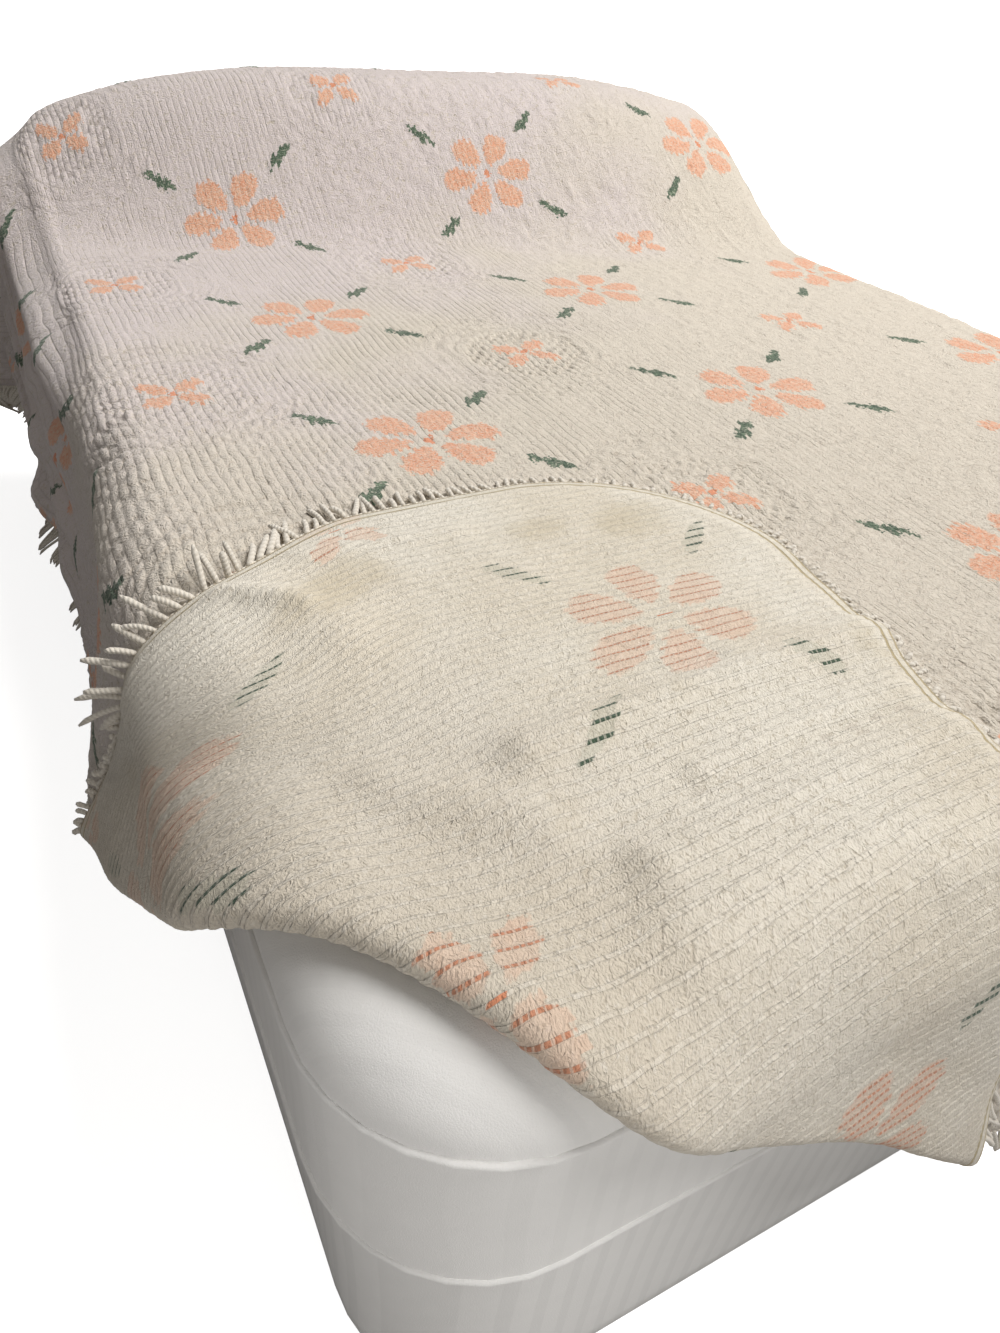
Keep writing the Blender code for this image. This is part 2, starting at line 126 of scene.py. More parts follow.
@dataclass(frozen=True)
class Bed:
    """Sizes of the mattress and its base, as in the solids."""

    width: float = 1.400
    length: float = 1.900
    base_height: float = 0.290
    base_inset: float = 0.012
    mattress_height: float = 0.260
    corner: float = 0.140
    roll: float = 0.062

    @property
    def half(self) -> tuple[float, float]:
        """Half the plan, across and along."""
        return self.width / 2, self.length / 2

    @property
    def inner(self) -> tuple[float, float]:
        """Half the plan within the corner centres."""
        return self.width / 2 - self.corner, self.length / 2 - self.corner

    @property
    def top(self) -> float:
        """Height of the mattress's top."""
        return self.base_height + self.mattress_height

    @property
    def middle(self) -> tuple[float, float]:
        """Middle of the mattress in plan, read from the frame."""
        low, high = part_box("mattress")
        return (low.x + high.x) / 2, (low.y + high.y) / 2


@dataclass(frozen=True)
class Cloth:
    """The cut cloth and its fall over the bed, by the same map as the solids."""

    bed: Bed = Bed()
    thickness: float = 0.003
    clear: float = 0.0025
    # Distances of the cut edges from the bed's middle, and the cut corners' radii.
    side_hem: float = 1.101
    foot_hem: float = 1.293
    head_hem: float = 1.290
    foot_corner: float = 0.227
    head_corner: float = 0.030
    # Radius of the cloth's turn over the mattress's edge.
    edge_roll: float = 0.072
    # On the fold line, x and y add up to this below 0.
    fold_sum: float = 1.464
    fold_radius: float = 0.010
    # Height of the turned corner over the lower layer, and how far past the
    # fold it takes to settle there.
    layer_rise: float = 0.013
    layer_settle: float = 0.070
    # How far the turned corner is dragged across the bed and towards its foot,
    # and from where to where each drag comes in.
    flap_slip: float = 0.058
    slip_along: tuple = (-0.86, -0.53)
    flap_drag: float = 0.085
    drag_across: tuple = (-0.49, -0.71)
    fold_bulge: float = 0.038
    # Middle and width of the bulge along the fold, and its reach off it.
    bulge_place: float = 0.29
    bulge_width: float = 0.16
    bulge_reach: float = 0.30
    # Height of the mound over the pillows, and the share of it lost at the sides.
    mound_height: float = 0.230
    mound_fall: float = 0.33
    # Start and length of the mound's slope along the bed, each with its change across it.
    mound_start: tuple = (0.475, -0.24)
    mound_run: tuple = (0.360, 0.14)
    # How far outward the drops lean for each metre down, and how much more at a corner.
    side_slope: float = 0.13
    corner_slope: float = 0.26
    # Depth of the waves in the drops, and the drop over which they reach it.
    wave_depth: float = 0.020
    wave_run: float = 0.35
    pleat_depth: float = 0.045
    # Where the turned corner draws the left side up, from none to full.
    lift_across: tuple = (-0.46, -0.61)
    lift_along: tuple = (-0.09, -0.31)
    lift_slope: float = 0.11
    lift_belly: float = 0.016
    lift_share: float = 0.33
    # Soft folds on the turned corner: two ends in plan, half width, height.
    folds: tuple = (
        (-0.52, -0.77, -0.20, -0.75, 0.060, 0.008),
        (-0.47, -0.90, -0.20, -0.88, 0.040, 0.012),
        (-0.61, -0.47, -0.57, -0.55, 0.035, 0.008),
    )
    # Finer creases that the solids leave out, in the same numbers.
    creases: tuple = (
        (-0.50, -0.738, -0.16, -0.720, 0.021, 0.012),
        (-0.47, -0.853, -0.19, -0.835, 0.020, 0.012),
        (-0.40, -0.800, -0.20, -0.785, 0.011, 0.005),
        (-0.30, -0.700, -0.12, -0.700, 0.009, 0.003),
        (-0.30, -0.920, -0.22, -0.915, 0.012, 0.004),
        (-0.64, -0.460, -0.585, -0.505, 0.011, 0.007),
        (-0.70, -0.600, -0.650, -0.650, 0.030, -0.005),
        (-0.56, -0.430, -0.42, -0.440, 0.014, 0.004),
        (-0.60, -0.720, -0.52, -0.800, 0.022, 0.005),
        (-0.33, -0.540, -0.14, -0.600, 0.045, -0.005),
    )
    # How far past the fold the drag and the folds take to come in.
    drag_run: float = 0.20
    fold_run: float = 0.06
    # How far the turned corner's hem hangs lower, and over which width.
    hem_droop: float = 0.0070
    droop_width: float = 0.035
    # Long folds down the left side, beside the pillows: their depth, the
    # first one's distance past the edge, and the distance between two.
    side_fold: float = 0.020
    side_fold_first: float = 0.105
    side_fold_length: float = 0.104
    # Half the step over which the cloth's directions are measured.
    probe: float = 0.0015

    def mound_slope(self, x: Array, y: Array) -> tuple[Array, Array, Array]:
        """Full height of the mound, length of its slope, and the share of it already passed.

        Args:
            x: Places across the cloth.
            y: Places along it.

        Returns:
            The three, for each place.
        """
        across = x / self.bed.half[0]
        fall = self.mound_fall - 0.10 * across
        height = self.mound_height * (1 - fall * np.abs(across) ** 3.5)
        run = self.mound_run[0] + self.mound_run[1] * x
        return height, run, (y - self.mound_start[0] - self.mound_start[1] * x) / run

    def mound(self, x: Array, y: Array) -> Array:
        """Rise over the pillows: a soft step along the bed, lower to both sides."""
        height, _, share = self.mound_slope(x, y)
        return height * smooth(share)

    def flat_place(self, x: Array, y: Array) -> tuple[Array, Array]:
        """Coordinates on the cut cloth of the map's own coordinates.

        They differ on the pillows' mound, where the map keeps the plan length
        and the cloth follows the slope: the extra length is the integral of
        the root of one plus the squared slope, less one, by Gauss's rule.

        Args:
            x: Places across the map.
            y: Places along it.

        Returns:
            Places across and along the cut cloth.
        """
        wide = self.bed.half[0]
        height, run, share = self.mound_slope(np.clip(x, -wide, wide), y)
        share = np.clip(share, 0, 1)
        extra = np.zeros_like(share)
        nodes, weights = np.polynomial.legendre.leggauss(6)
        for node, weight in zip((nodes + 1) / 2, weights / 2):
            t = share * node
            slope = height / run * 6 * t * (1 - t)
            extra = extra + weight * (np.sqrt(1 + slope**2) - 1)
        return x, y + extra * share * run

    def lumps(self, x: Array, y: Array) -> Array:
        """Small unevenness on the mattress: three slow waves, never below 0."""
        waves = np.sin(9.1 * x + 3.7 * y + 0.4) + np.sin(5.3 * y - 7.9 * x + 1.9)
        return 0.0015 * (3 + waves + np.sin(14.3 * y + 2.2 * x))

    def hang_wave(self, u: Array) -> Array:
        """Folds along a hanging side: three sine waves of unlike lengths."""
        long_waves = 0.50 * np.sin(13.7 * u + 0.7) + 0.35 * np.sin(23.3 * u + 2.1)
        return long_waves + 0.15 * np.sin(31.0 * u + 5.0)

    def lifted(self, x: Array, y: Array) -> Array:
        """How far the turned corner draws the left side up, from 0 to 1."""
        return ramp(y, *self.lift_along) * ramp(x, *self.lift_across)

    def drape(self, x: Array, y: Array, rise: Array) -> Array:
        """Place on the bed of points on the unrolled plane.

        Inside the mattress's rounded edge a point keeps its plan place. Past
        it, the distance runs round a quarter turn and then down a slope that
        leans outward, with waves along the sides and pleats at the corners.

        Args:
            x: Places across the unrolled plane.
            y: Places along it.
            rise: Height off the surface.

        Returns:
            Points, one row of three numbers each.
        """
        bed = self.bed
        near_x = np.clip(x, -bed.inner[0], bed.inner[0])
        near_y = np.clip(y, -bed.inner[1], bed.inner[1])
        off_x, off_y = x - near_x, y - near_y
        reach = np.hypot(off_x, off_y)
        safe = np.maximum(reach, 1e-9)
        dir_x, dir_y = off_x / safe, off_y / safe
        start = bed.corner - bed.roll
        past = np.maximum(reach - start, 0)
        bend = np.minimum(past / self.edge_roll, math.pi / 2)
        run = np.maximum(past - self.edge_roll * math.pi / 2, 0)
        corner = (2 * dir_x * dir_y) ** 2
        lift = self.lifted(x, y)
        run = run * (1 - self.lift_share * lift * run / (self.side_hem - bed.half[0]))
        slope = self.side_slope + self.corner_slope * corner + self.lift_slope * lift
        side_wave = self.hang_wave(near_y) * dir_x**2 + self.hang_wave(near_x + 7) * dir_y**2
        pleats = corner * np.cos(12 * np.arctan2(off_y, off_x))
        wave = self.wave_depth * side_wave * (1 - corner) + self.pleat_depth * pleats
        wave = wave * np.clip(run / self.wave_run, 0, 1.6)
        phase = (past - self.side_fold_first) * 2 * math.pi / self.side_fold_length
        deep = np.cos(phase + np.sin(3.1 * near_y))
        where = smooth(-dir_x * 3 - 1.5) * ramp(near_y, 0.02, 0.32)
        wave = wave + self.side_fold * deep * where * smooth(past / 0.10)
        lean = slope / np.sqrt(1 + slope**2)
        belly = self.lift_belly * lift * np.sin(bend) ** 2
        out = (self.edge_roll + rise) * np.sin(bend) + run * lean + wave + belly
        down = self.edge_roll * (1 - np.cos(bend)) + run * np.sqrt(1 - lean**2)
        level = np.minimum(reach, start)
        edge_x, edge_y = near_x + dir_x * level, near_y + dir_y * level
        surface = bed.top + self.clear + self.thickness / 2 + self.mound(edge_x, edge_y)
        surface = surface + self.lumps(edge_x, edge_y) * np.cos(bend)
        over = out * (reach > start)
        plan_x = edge_x + dir_x * over + bed.middle[0]
        plan_y = edge_y + dir_y * over + bed.middle[1]
        return np.stack([plan_x, plan_y, surface - down + rise * np.cos(bend)], axis=-1)

    def fold_height(self, x: Array, y: Array) -> Array:
        """Soft folds: for each, its height times the bell of the distance from its line.

        Args:
            x: Places across the bed.
            y: Places along it.

        Returns:
            Heights, in metres.
        """
        height = np.zeros_like(x)
        for x0, y0, x1, y1, width, rise in self.folds + self.creases:
            length = math.hypot(x1 - x0, y1 - y0)
            way_x, way_y = (x1 - x0) / length, (y1 - y0) / length
            along = (x - x0) * way_x + (y - y0) * way_y
            aside = (y - y0) * way_x - (x - x0) * way_y
            ends = np.maximum(np.maximum(-along, along - length), 0)
            height = height + rise * np.exp(-(aside**2 + ends**2) / width**2)
        return height

    def slip(self, y: Array) -> Array:
        """How far the turned corner is dragged across the bed."""
        return self.flap_slip * ramp(y, *self.slip_along)

    def drag(self, x: Array) -> Array:
        """How far the turned corner is dragged towards the foot."""
        return self.flap_drag * ramp(x, *self.drag_across)

    def place(self, x: Array, y: Array, rise: Array = 0.0) -> Array:
        """Place on the bed of points of the flat cloth.

        A point past the fold line is mirrored in it, round a half turn of the
        fold's radius, lies one layer higher and face down, and is dragged a
        little sideways and towards the foot.

        Args:
            x: Places across the flat cloth.
            y: Places along it.
            rise: Height off the cloth's front.

        Returns:
            Points, one row of three numbers each.
        """
        across = self.across_fold(x, y)
        turn = self.fold_radius * math.pi / 2
        angle = np.clip(across / self.fold_radius, -math.pi / 2, math.pi / 2)
        in_turn = np.abs(across) < turn
        rolled = turn - self.fold_radius * np.cos(angle)
        plan = np.where(in_turn, rolled, np.abs(across))
        shift = (plan - across) / ROOT2
        px, py = x + shift, y + shift
        beyond = np.maximum(-across - turn, 0)
        settle = smooth(beyond / self.layer_settle)
        bulge = ((px - py) / ROOT2 - self.bulge_place) / self.bulge_width
        bulge = self.fold_bulge * np.exp(-(bulge**2))
        bulge = bulge * (1 - smooth(plan / self.bulge_reach)) / ROOT2
        px = px + settle * self.slip(py) - bulge
        py = py - smooth(beyond / self.drag_run) * self.drag(px) - bulge
        up = self.fold_radius * (1 - np.sin(angle))
        up = up + settle * (self.layer_rise - 2 * self.fold_radius)
        near_hem = smooth(1 - self.from_hem(x, y) / self.droop_width)
        folds = self.fold_height(px, py) - self.hem_droop * near_hem
        up = up + smooth(beyond / self.fold_run) * folds
        facing = np.where(in_turn, np.sin(angle), np.where(across < 0, -1.0, 1.0))
        return self.drape(px, py, up + facing * rise)

    def frame_at(self, x: Array, y: Array) -> tuple[Array, Array, Array]:
        """Place, front direction and tightness of the cloth.

        The front direction is the unit cross product of the steps along x and
        along y. The tightness is the shorter step over its flat length.

        Args:
            x: Places across the flat cloth.
            y: Places along it.

        Returns:
            Points, unit normals, and tightness from 0 (bunched) to 1.
        """
        step = self.probe
        along_x = self.place(x + step, y) - self.place(x - step, y)
        along_y = self.place(x, y + step) - self.place(x, y - step)
        pull = np.minimum(np.linalg.norm(along_x, axis=-1), np.linalg.norm(along_y, axis=-1))
        tight = np.clip(pull / (2 * step), 0.05, 1)
        return self.place(x, y), unit(np.cross(along_x, along_y)), tight

    def across_fold(self, x: Array, y: Array) -> Array:
        """Distance from the fold line, below 0 on the turned corner."""
        return (x + y + self.fold_sum) / ROOT2

    def from_hem(self, x: Array, y: Array) -> Array:
        """Distance inward from the cut edge: that of a rectangle with rounded corners.

        Args:
            x: Places across the cloth.
            y: Places along it.

        Returns:
            Distances, below 0 outside the cut.
        """
        middle = (self.head_hem - self.foot_hem) / 2
        half_y = (self.head_hem + self.foot_hem) / 2
        radius = np.where(y < middle, self.foot_corner, self.head_corner)
        over_x = np.abs(x) - (self.side_hem - radius)
        over_y = np.abs(y - middle) - (half_y - radius)
        outside = np.hypot(np.maximum(over_x, 0), np.maximum(over_y, 0))
        return radius - outside - np.minimum(np.maximum(over_x, over_y), 0)

    def under_flap(self, x: Array, y: Array) -> Array:
        """How far inside the turned corner's edge a point of the lower layer lies.

        Args:
            x: Places across the cloth.
            y: Places along it.

        Returns:
            Distances inward from its edge.
        """
        back_x = x - self.slip(y)
        back_y = y + self.drag(x)
        return self.from_hem(-self.fold_sum - back_y, -self.fold_sum - back_x)

    @property
    def hem_lengths(self) -> tuple[float, float, float]:
        """Length of a side, of a foot corner's arc, and of the foot between them.

        Returns:
            The three, in metres.
        """
        side = self.head_hem + self.foot_hem - self.foot_corner
        arc = self.foot_corner * math.pi / 2
        return side, arc, 2 * (self.side_hem - self.foot_corner)

    @property
    def hem_total(self) -> float:
        """Length of the hem without its head."""
        side, arc, foot = self.hem_lengths
        return 2 * (side + arc) + foot

    def hem_point(self, length: Array) -> tuple[Array, Array]:
        """Places and outward ways on the hem.

        The length runs down the left side from the head, round the turned
        corner, along the foot, round the right corner and up the right side.
        Past the middle of the foot it is the mirror image of the way there.

        Args:
            length: Lengths round the hem.

        Returns:
            Points on the hem and unit ways out of the cloth, two numbers each.
        """
        side, arc, _ = self.hem_lengths
        total = self.hem_total
        mirrored = length > total / 2
        run = np.where(mirrored, total - length, length)
        turn = math.pi + np.clip((run - side) / self.foot_corner, 0, math.pi / 2)
        along = np.maximum(run - side - arc, 0)
        out = np.stack([np.cos(turn), np.sin(turn)], axis=-1)
        centre_x = self.foot_corner - self.side_hem
        centre_y = np.where(run < side, self.head_hem - run, self.foot_corner - self.foot_hem)
        x = centre_x + self.foot_corner * out[..., 0] + along
        y = centre_y + self.foot_corner * out[..., 1]
        sign = np.where(mirrored, -1.0, 1.0)
        point = np.stack([x * sign, y], axis=-1)
        return point, out * np.stack([sign, np.ones_like(sign)], axis=-1)


# ---------------------------------------------------------------- motifs


@dataclass(frozen=True)
class Motifs:
    """The flowers and leaves, in shares of the crosswise pitch."""

    pitch_x: float = 0.477
    pitch_y: float = 0.4374
    first: tuple = (-0.3566, 0.209)
    petal_out: float = 0.113
    petal: tuple = (0.0680, 0.0440)
    petal_taper: float = 0.34
    heart: tuple = (0.0120, 0.0190)
    leaf_place: tuple = (0.220, 0.205)
    leaf: tuple = (0.063, 0.0172)
    leaf_turn: float = math.radians(44)
    small_place: tuple = (0.045, 0.041)
    small: tuple = (0.042, 0.0270)
    small_turn: float = math.radians(41)
    small_heart: float = 0.012

    @property
    def squeeze(self) -> float:
        """Lengthwise pitch over the crosswise one."""
        return self.pitch_y / self.pitch_x

    def cell(self, x: Array, y: Array, shift: float) -> tuple[Array, Array]:
        """Place from the nearest lattice point: what is left of x and y over the pitches.

        Args:
            x: Places across the cloth.
            y: Places along it.
            shift: How far the lattice is moved, in pitches.

        Returns:
            The two parts of the way there, in shares of the crosswise pitch.
        """
        u = (x - self.first[0]) / self.pitch_x - shift
        v = (y - self.first[1]) / self.pitch_y - shift
        return u - np.rint(u), (v - np.rint(v)) * self.squeeze

    def petal_level(self, x: Array, y: Array) -> Array:
        """Level of the six petals: 1 on their rims, less inside.

        The angle round the flower is folded into one sixth of a turn, and the
        petal there is an ellipse that widens outward.

        Args:
            x: Places across the cloth.
            y: Places along it.

        Returns:
            Level at each place: below 1 inside.
        """
        u, v = self.cell(x, y, 0.0)
        sixth = math.pi / 3
        angle = (np.arctan2(v, u) + sixth / 2) % sixth - sixth / 2
        reach = np.hypot(u, v)
        along, aside = reach * np.cos(angle) - self.petal_out, reach * np.sin(angle)
        width = self.petal[1] * (1 + self.petal_taper * along / self.petal[0])
        return np.hypot(along / self.petal[0], aside / np.maximum(width, 0.01))

    def tilted_level(self, u: Array, v: Array, at: tuple, half: tuple, turn: float) -> Array:
        """Level of one ellipse, its centre at `at` and its length turned by `turn`.

        Args:
            u: Way across from the lattice point.
            v: Way along.
            at: The ellipse's centre.
            half: Its half length and half width.
            turn: Its turn, in radians.

        Returns:
            Level at each place: below 1 inside.
        """
        cos, sin = math.cos(turn), math.sin(turn)
        along = (np.abs(u) - at[0]) * cos + (np.abs(v) - at[1]) * sin
        aside = (np.abs(v) - at[1]) * cos - (np.abs(u) - at[0]) * sin
        return np.hypot(along / half[0], aside / half[1])

    def leaf_level(self, x: Array, y: Array) -> Array:
        """Level of the four leaves round each big flower."""
        u, v = self.cell(x, y, 0.0)
        return self.tilted_level(u, v, self.leaf_place, self.leaf, self.leaf_turn)

    def small_level(self, x: Array, y: Array) -> Array:
        """Level of the four petals of the small flowers between the big ones."""
        u, v = self.cell(x, y, 0.5)
        return self.tilted_level(u, v, self.small_place, self.small, self.small_turn)

    def heart_level(self, x: Array, y: Array) -> Array:
        """Level of the hearts: an ellipse in each big flower and a disc in each small one.

        Args:
            x: Places across the cloth.
            y: Places along it.

        Returns:
            Level at each place: below 1 inside.
        """
        u, v = self.cell(x, y, 0.0)
        s, t = self.cell(x, y, 0.5)
        big = np.hypot(u / self.heart[0], v / self.heart[1])
        return np.minimum(big, np.hypot(s, t) / self.small_heart)


@dataclass(frozen=True)
class Tufting:
    """The tufted rows on the front.

    They are cut into knobs round the small flowers and into dashes round
    those, and run whole beyond.
    """

    motifs: Motifs = Motifs()
    row_pitch: float = 0.0104
    height: float = 0.0040
    # Distances from a small flower, in shares of the crosswise pitch: where
    # the knobs end, where the dashes end, from one ring of dashes to the next,
    # and how softly a zone ends.
    knob_reach: float = 0.185
    dash_reach: float = 0.340
    ring_step: float = 0.052
    soft: float = 0.02
    # Along a row: from knob to knob, and from one gap of a whole row to the next.
    knob_pitch: float = 0.0200
    piece_pitch: float = 0.036
    meander: float = 0.0042
    columns: tuple = (0.0, 0.17, 0.5, 0.83)
    # The pile's strips: their edges across the cloth and the step along it.
    strips: tuple = (
        (-1.101, -0.71, 0.0074),
        (-0.71, -0.32, 0.0047),
        (-0.32, 0.07, 0.0047),
        (0.07, 0.46, 0.0068),
        (0.46, 1.101, 0.0104),
    )

    def matted(self, x: Array, y: Array) -> Array:
        """How far the pile is matted, 0 to 1: more to the right, in slow patches.

        Args:
            x: Places across the cloth.
            y: Places along it.

        Returns:
            Shares, from 0 to 1.
        """
        patch = value_noise(x, y, 0.22, 11) - 0.5
        near = ramp(y, 0.10, -0.40)
        return ramp(x - 0.10 * near + 0.5 * patch, -0.26, 0.14)

    def wander(self, x: Array, y: Array) -> Array:
        """How far a row strays sideways: two slow noises, less their middles.

        Args:
            x: Places across the cloth.
            y: Places along it.

        Returns:
            Distances, in metres.
        """
        slow = value_noise(x, y, 0.055, 13) - 0.5
        quick = value_noise(x, y, 0.023, 14) - 0.5
        return self.meander * (slow + 0.5 * quick)

    def row_chance(self, row: Array) -> Array:
        """A number of its own for each row, from 0 to 1: the fraction of a large sine."""
        return fraction(np.sin(row * 12.9898) * 43758.5453)

    def cuts(self, row_x: Array, x: Array, y: Array) -> tuple[Array, Array, Array, Array]:
        """Gaps that cut the rows into lumps.

        Round each small flower the lumps are knobs, and farther out they are
        dashes between rings a step apart. Beyond that the rows are whole.

        Args:
            row_x: Places across the rows before they stray.
            x: Places across the cloth.
            y: Places along it.

        Returns:
            Depth of the gap, how far a place lies among the knobs and how far
            in the whole zone, all from 0 to 1, and its lump's own height.
        """
        row = np.floor(row_x / self.row_pitch)
        stray = self.row_chance(row) - 0.5
        s, t = self.motifs.cell(x, y, 0.5)
        reach = np.hypot(s, t)
        in_knobs = ramp(reach, self.knob_reach, self.knob_reach - self.soft)
        zone = ramp(reach, self.dash_reach, self.dash_reach - self.soft)
        ring = reach / self.ring_step + 0.6 * stray
        steep = np.abs(t) / np.maximum(reach, 1e-6)
        dash_cut = ramp(off_middle(ring), 0.33, 0.45) * ramp(steep, 0.25, 0.5)
        knob = y / self.knob_pitch + 0.5 * (row % 2) + 0.3 * stray
        knob = knob + 1.1 * value_noise(row_x, y, 0.035, 10)
        knob_cut = ramp(off_middle(knob), 0.16, 0.36)
        number = np.floor(ring) + np.floor(knob) * in_knobs.round()
        lump = fraction(np.sin(row * 78.233 + number * 37.719 + 1.7) * 9631.31) - 0.5
        return blend(dash_cut, knob_cut, in_knobs), in_knobs, zone, lump * zone

    def heights(self, row_x: Array, x: Array, y: Array) -> Array:
        """Height of the pile off the ground cloth.

        A row is a low power of the absolute sine across it, so that it is
        broad on top with a thin groove beside it, and gaps cut it into pieces.
        Petals stand full height, with an even halo round them. Matted pile
        loses its rows and gains crumbs.

        Args:
            row_x: Places across the rows before they stray.
            x: Places across the cloth.
            y: Places along it.

        Returns:
            Heights, in metres.
        """
        motifs, matted = self.motifs, self.matted(x, y)
        chance = self.row_chance(np.floor(row_x / self.row_pitch))
        profile = np.abs(np.sin(math.pi * row_x / self.row_pitch)) ** 0.6
        cut, in_knobs, zone, lump = self.cuts(row_x, x, y)
        crumbs = value_noise(x, y, 0.0105, 5) * value_noise(x, y, 0.021, 6) ** 0.5
        front = ramp(x, -0.10, -0.45) * ramp(y, 0.30, -0.20)
        tall = 0.78 + 0.36 * value_noise(x, y, 0.024, 7) + 0.16 * (chance - 0.5) + 0.35 * lump
        tall = tall + 0.34 * front * (value_noise(x, y, 0.040, 8) - 0.5)
        tall = tall * (1 - 0.30 * ramp(y, 0.35, 0.70))
        worn = ramp(value_noise(x, y, 0.11, 21), 0.38, 0.60)
        deep = (0.22 + 0.36 * front) * (1 - 0.75 * worn * (1 - 0.5 * front))
        deep = blend(deep, 0.72, in_knobs * zone)
        gap = cut * zone * (0.45 + 0.43 * np.maximum(front, in_knobs))
        piece = y / self.piece_pitch + 5 * chance + 0.8 * value_noise(row_x, y, 0.03, 9)
        apart = ramp(off_middle(piece), 0.37, 0.46)
        gap = np.maximum(gap, 0.62 * apart * front * (1 - zone * in_knobs))
        rows = (blend(1, profile, deep) * (1 - gap) + 0.20 * crumbs) * tall
        level = rows * (1 - 0.62 * matted) + matted * (0.12 + 0.95 * crumbs)
        petals = np.minimum(motifs.petal_level(x, y), motifs.small_level(x, y))
        even = 0.66 + 0.16 * profile + 0.22 * crumbs
        level = blend(level, even, ramp(petals, 1.60, 1.25))
        inside = ramp(np.minimum(petals, motifs.leaf_level(x, y)), 1.12, 0.87)
        return self.height * blend(level, 0.80 + 0.16 * profile + 0.30 * crumbs, inside)


@dataclass(frozen=True)
class WrongSide:
    """The wrong side of the turned corner: lines of stitches and a felted ground."""

    stitch_pitch: float = 0.0104
    bead_pitch: float = 0.0046
    step: tuple = (0.0026, 0.0042)
    hem_width: float = 0.021
    # Distances of the two seams from the cut edge.
    seams: tuple = (0.0060, 0.0175)
    # Faint brown stains: middle, half width and half length, on the flat cloth.
    stains: tuple = (
        (-0.985, -1.160, 0.040, 0.050),
        (-1.000, -1.060, 0.026, 0.038),
        (-0.995, -0.850, 0.040, 0.070),
        (-1.060, -1.210, 0.028, 0.030),
    )

    def heights(self, x: Array, y: Array, hem: Array) -> Array:
        """Height of the wrong side off the ground cloth.

        A wave across the stitch lines, two grains of felt, and a step up on
        the turned hem.

        Args:
            x: Places across the cloth.
            y: Places along it.
            hem: Distance from the cut edge.

        Returns:
            Heights, in metres.
        """
        line = 0.5 + 0.5 * np.cos(2 * math.pi * x / self.stitch_pitch)
        felt = value_noise(x, y, 0.016, 22) * 0.45
        felt = felt + value_noise(x, y * 0.85, 0.0095, 24) * 0.25
        on_hem = ramp(hem, self.hem_width, self.hem_width - 0.003)
        clear = value_noise(x, y, 0.10, 23)
        ridge = 0.55 + 0.9 * value_noise(x * 0.7, y, 0.013, 25)
        ground = 0.0015 * line * ridge * (0.35 + 0.65 * clear) + 0.0010 * felt
        return blend(ground, 0.3 * ground + 0.0013, on_hem) + 0.0010


# ---------------------------------------------------------------- meshes


def circle(sides: int) -> Array:
    """Even angles round a circle, the first one 0."""
    return np.linspace(0, 2 * math.pi, sides + 1)[:-1]


def rings_round(middle: Array, first: Array, second: Array, radius: object, turn: Array) -> Array:
    """Circles round a line's points.

    Each is the middle and, times the radius, the cosine of the turn along the
    first way and its sine along the second.

    Args:
        middle: Points of the line.
        first: A unit way off each point.
        second: The unit way square to it.
        radius: One for all, or one for each point.
        turn: Angles round the circle.

    Returns:
        Points, with one more axis for the turn.
    """
    cos, sin = np.cos(turn)[:, None], np.sin(turn)[:, None]
    ways = first[..., None, :] * cos + second[..., None, :] * sin
    return middle[..., None, :] + ways * np.asarray(radius)[..., None, None]


def turn_map(turn: Array, along: Array) -> Array:
    """Flat coordinates of a tube: shares of a turn, and lengths along it in metres."""
    return np.stack(np.broadcast_arrays(turn / (2 * math.pi), along), axis=-1)


def quad_mesh(name: str, points: Array, quads: Array) -> bpy.types.Mesh:
    """Smooth mesh of quads.

    Args:
        name: Name of the mesh.
        points: Corners, their last axis of three numbers.
        quads: Indexes of the corners, four a row.

    Returns:
        The mesh.
    """
    mesh = bpy.data.meshes.new(name)
    mesh.vertices.add(points.size // 3)
    mesh.vertices.foreach_set("co", points.astype(np.float32).reshape(-1))
    mesh.loops.add(quads.size)
    mesh.loops.foreach_set("vertex_index", quads.astype(np.int32).reshape(-1))
    mesh.polygons.add(len(quads))
    mesh.polygons.foreach_set("loop_start", np.arange(0, quads.size, 4, dtype=np.int32))
    mesh.update(calc_edges=True)
    mesh.polygons.foreach_set("use_smooth", np.ones(len(quads), bool))
    mesh.validate()
    return mesh


def grid_quads(rows: int, columns: int) -> Array:
    """Quads between the points of a grid, as an array of rows, columns and four corners.

    Args:
        rows: Rows of points.
        columns: Points in a row.

    Returns:
        Corner indexes.
    """
    index = np.arange(rows * columns).reshape(rows, columns)
    corners = [index[:-1, :-1], index[:-1, 1:], index[1:, 1:], index[1:, :-1]]
    return np.stack(corners, axis=-1)


def shell_quads(rows: int, columns: int) -> Array:
    """Quads of a front grid, of a back grid after it, and of the wall round their rims.

    Args:
        rows: Rows of points.
        columns: Points in a row.

    Returns:
        Corner indexes, four a row.
    """
    quads = grid_quads(rows, columns).reshape(-1, 4)
    index = np.arange(rows * columns).reshape(rows, columns)
    rim = np.concatenate([index[0, :-1], index[:-1, -1], index[-1, :0:-1], index[:0:-1, 0]])
    after = np.roll(rim, -1)
    walls = np.stack([after, rim, rim + index.size, after + index.size], axis=-1)
    return np.concatenate([quads, quads[:, ::-1] + index.size, walls])


def band_quads(rings: int, count: int) -> Array:
    """Quads between rings of points, each ring closed on itself.

    Args:
        rings: Number of rings.
        count: Points in a ring.

    Returns:
        Corner indexes, four a row.
    """
    index = np.arange(rings * count).reshape(rings, count)
    onward = np.roll(index, -1, axis=1)
    walls = [index[:-1], onward[:-1], onward[1:], index[1:]]
    return np.stack(walls, axis=-1).reshape(-1, 4)


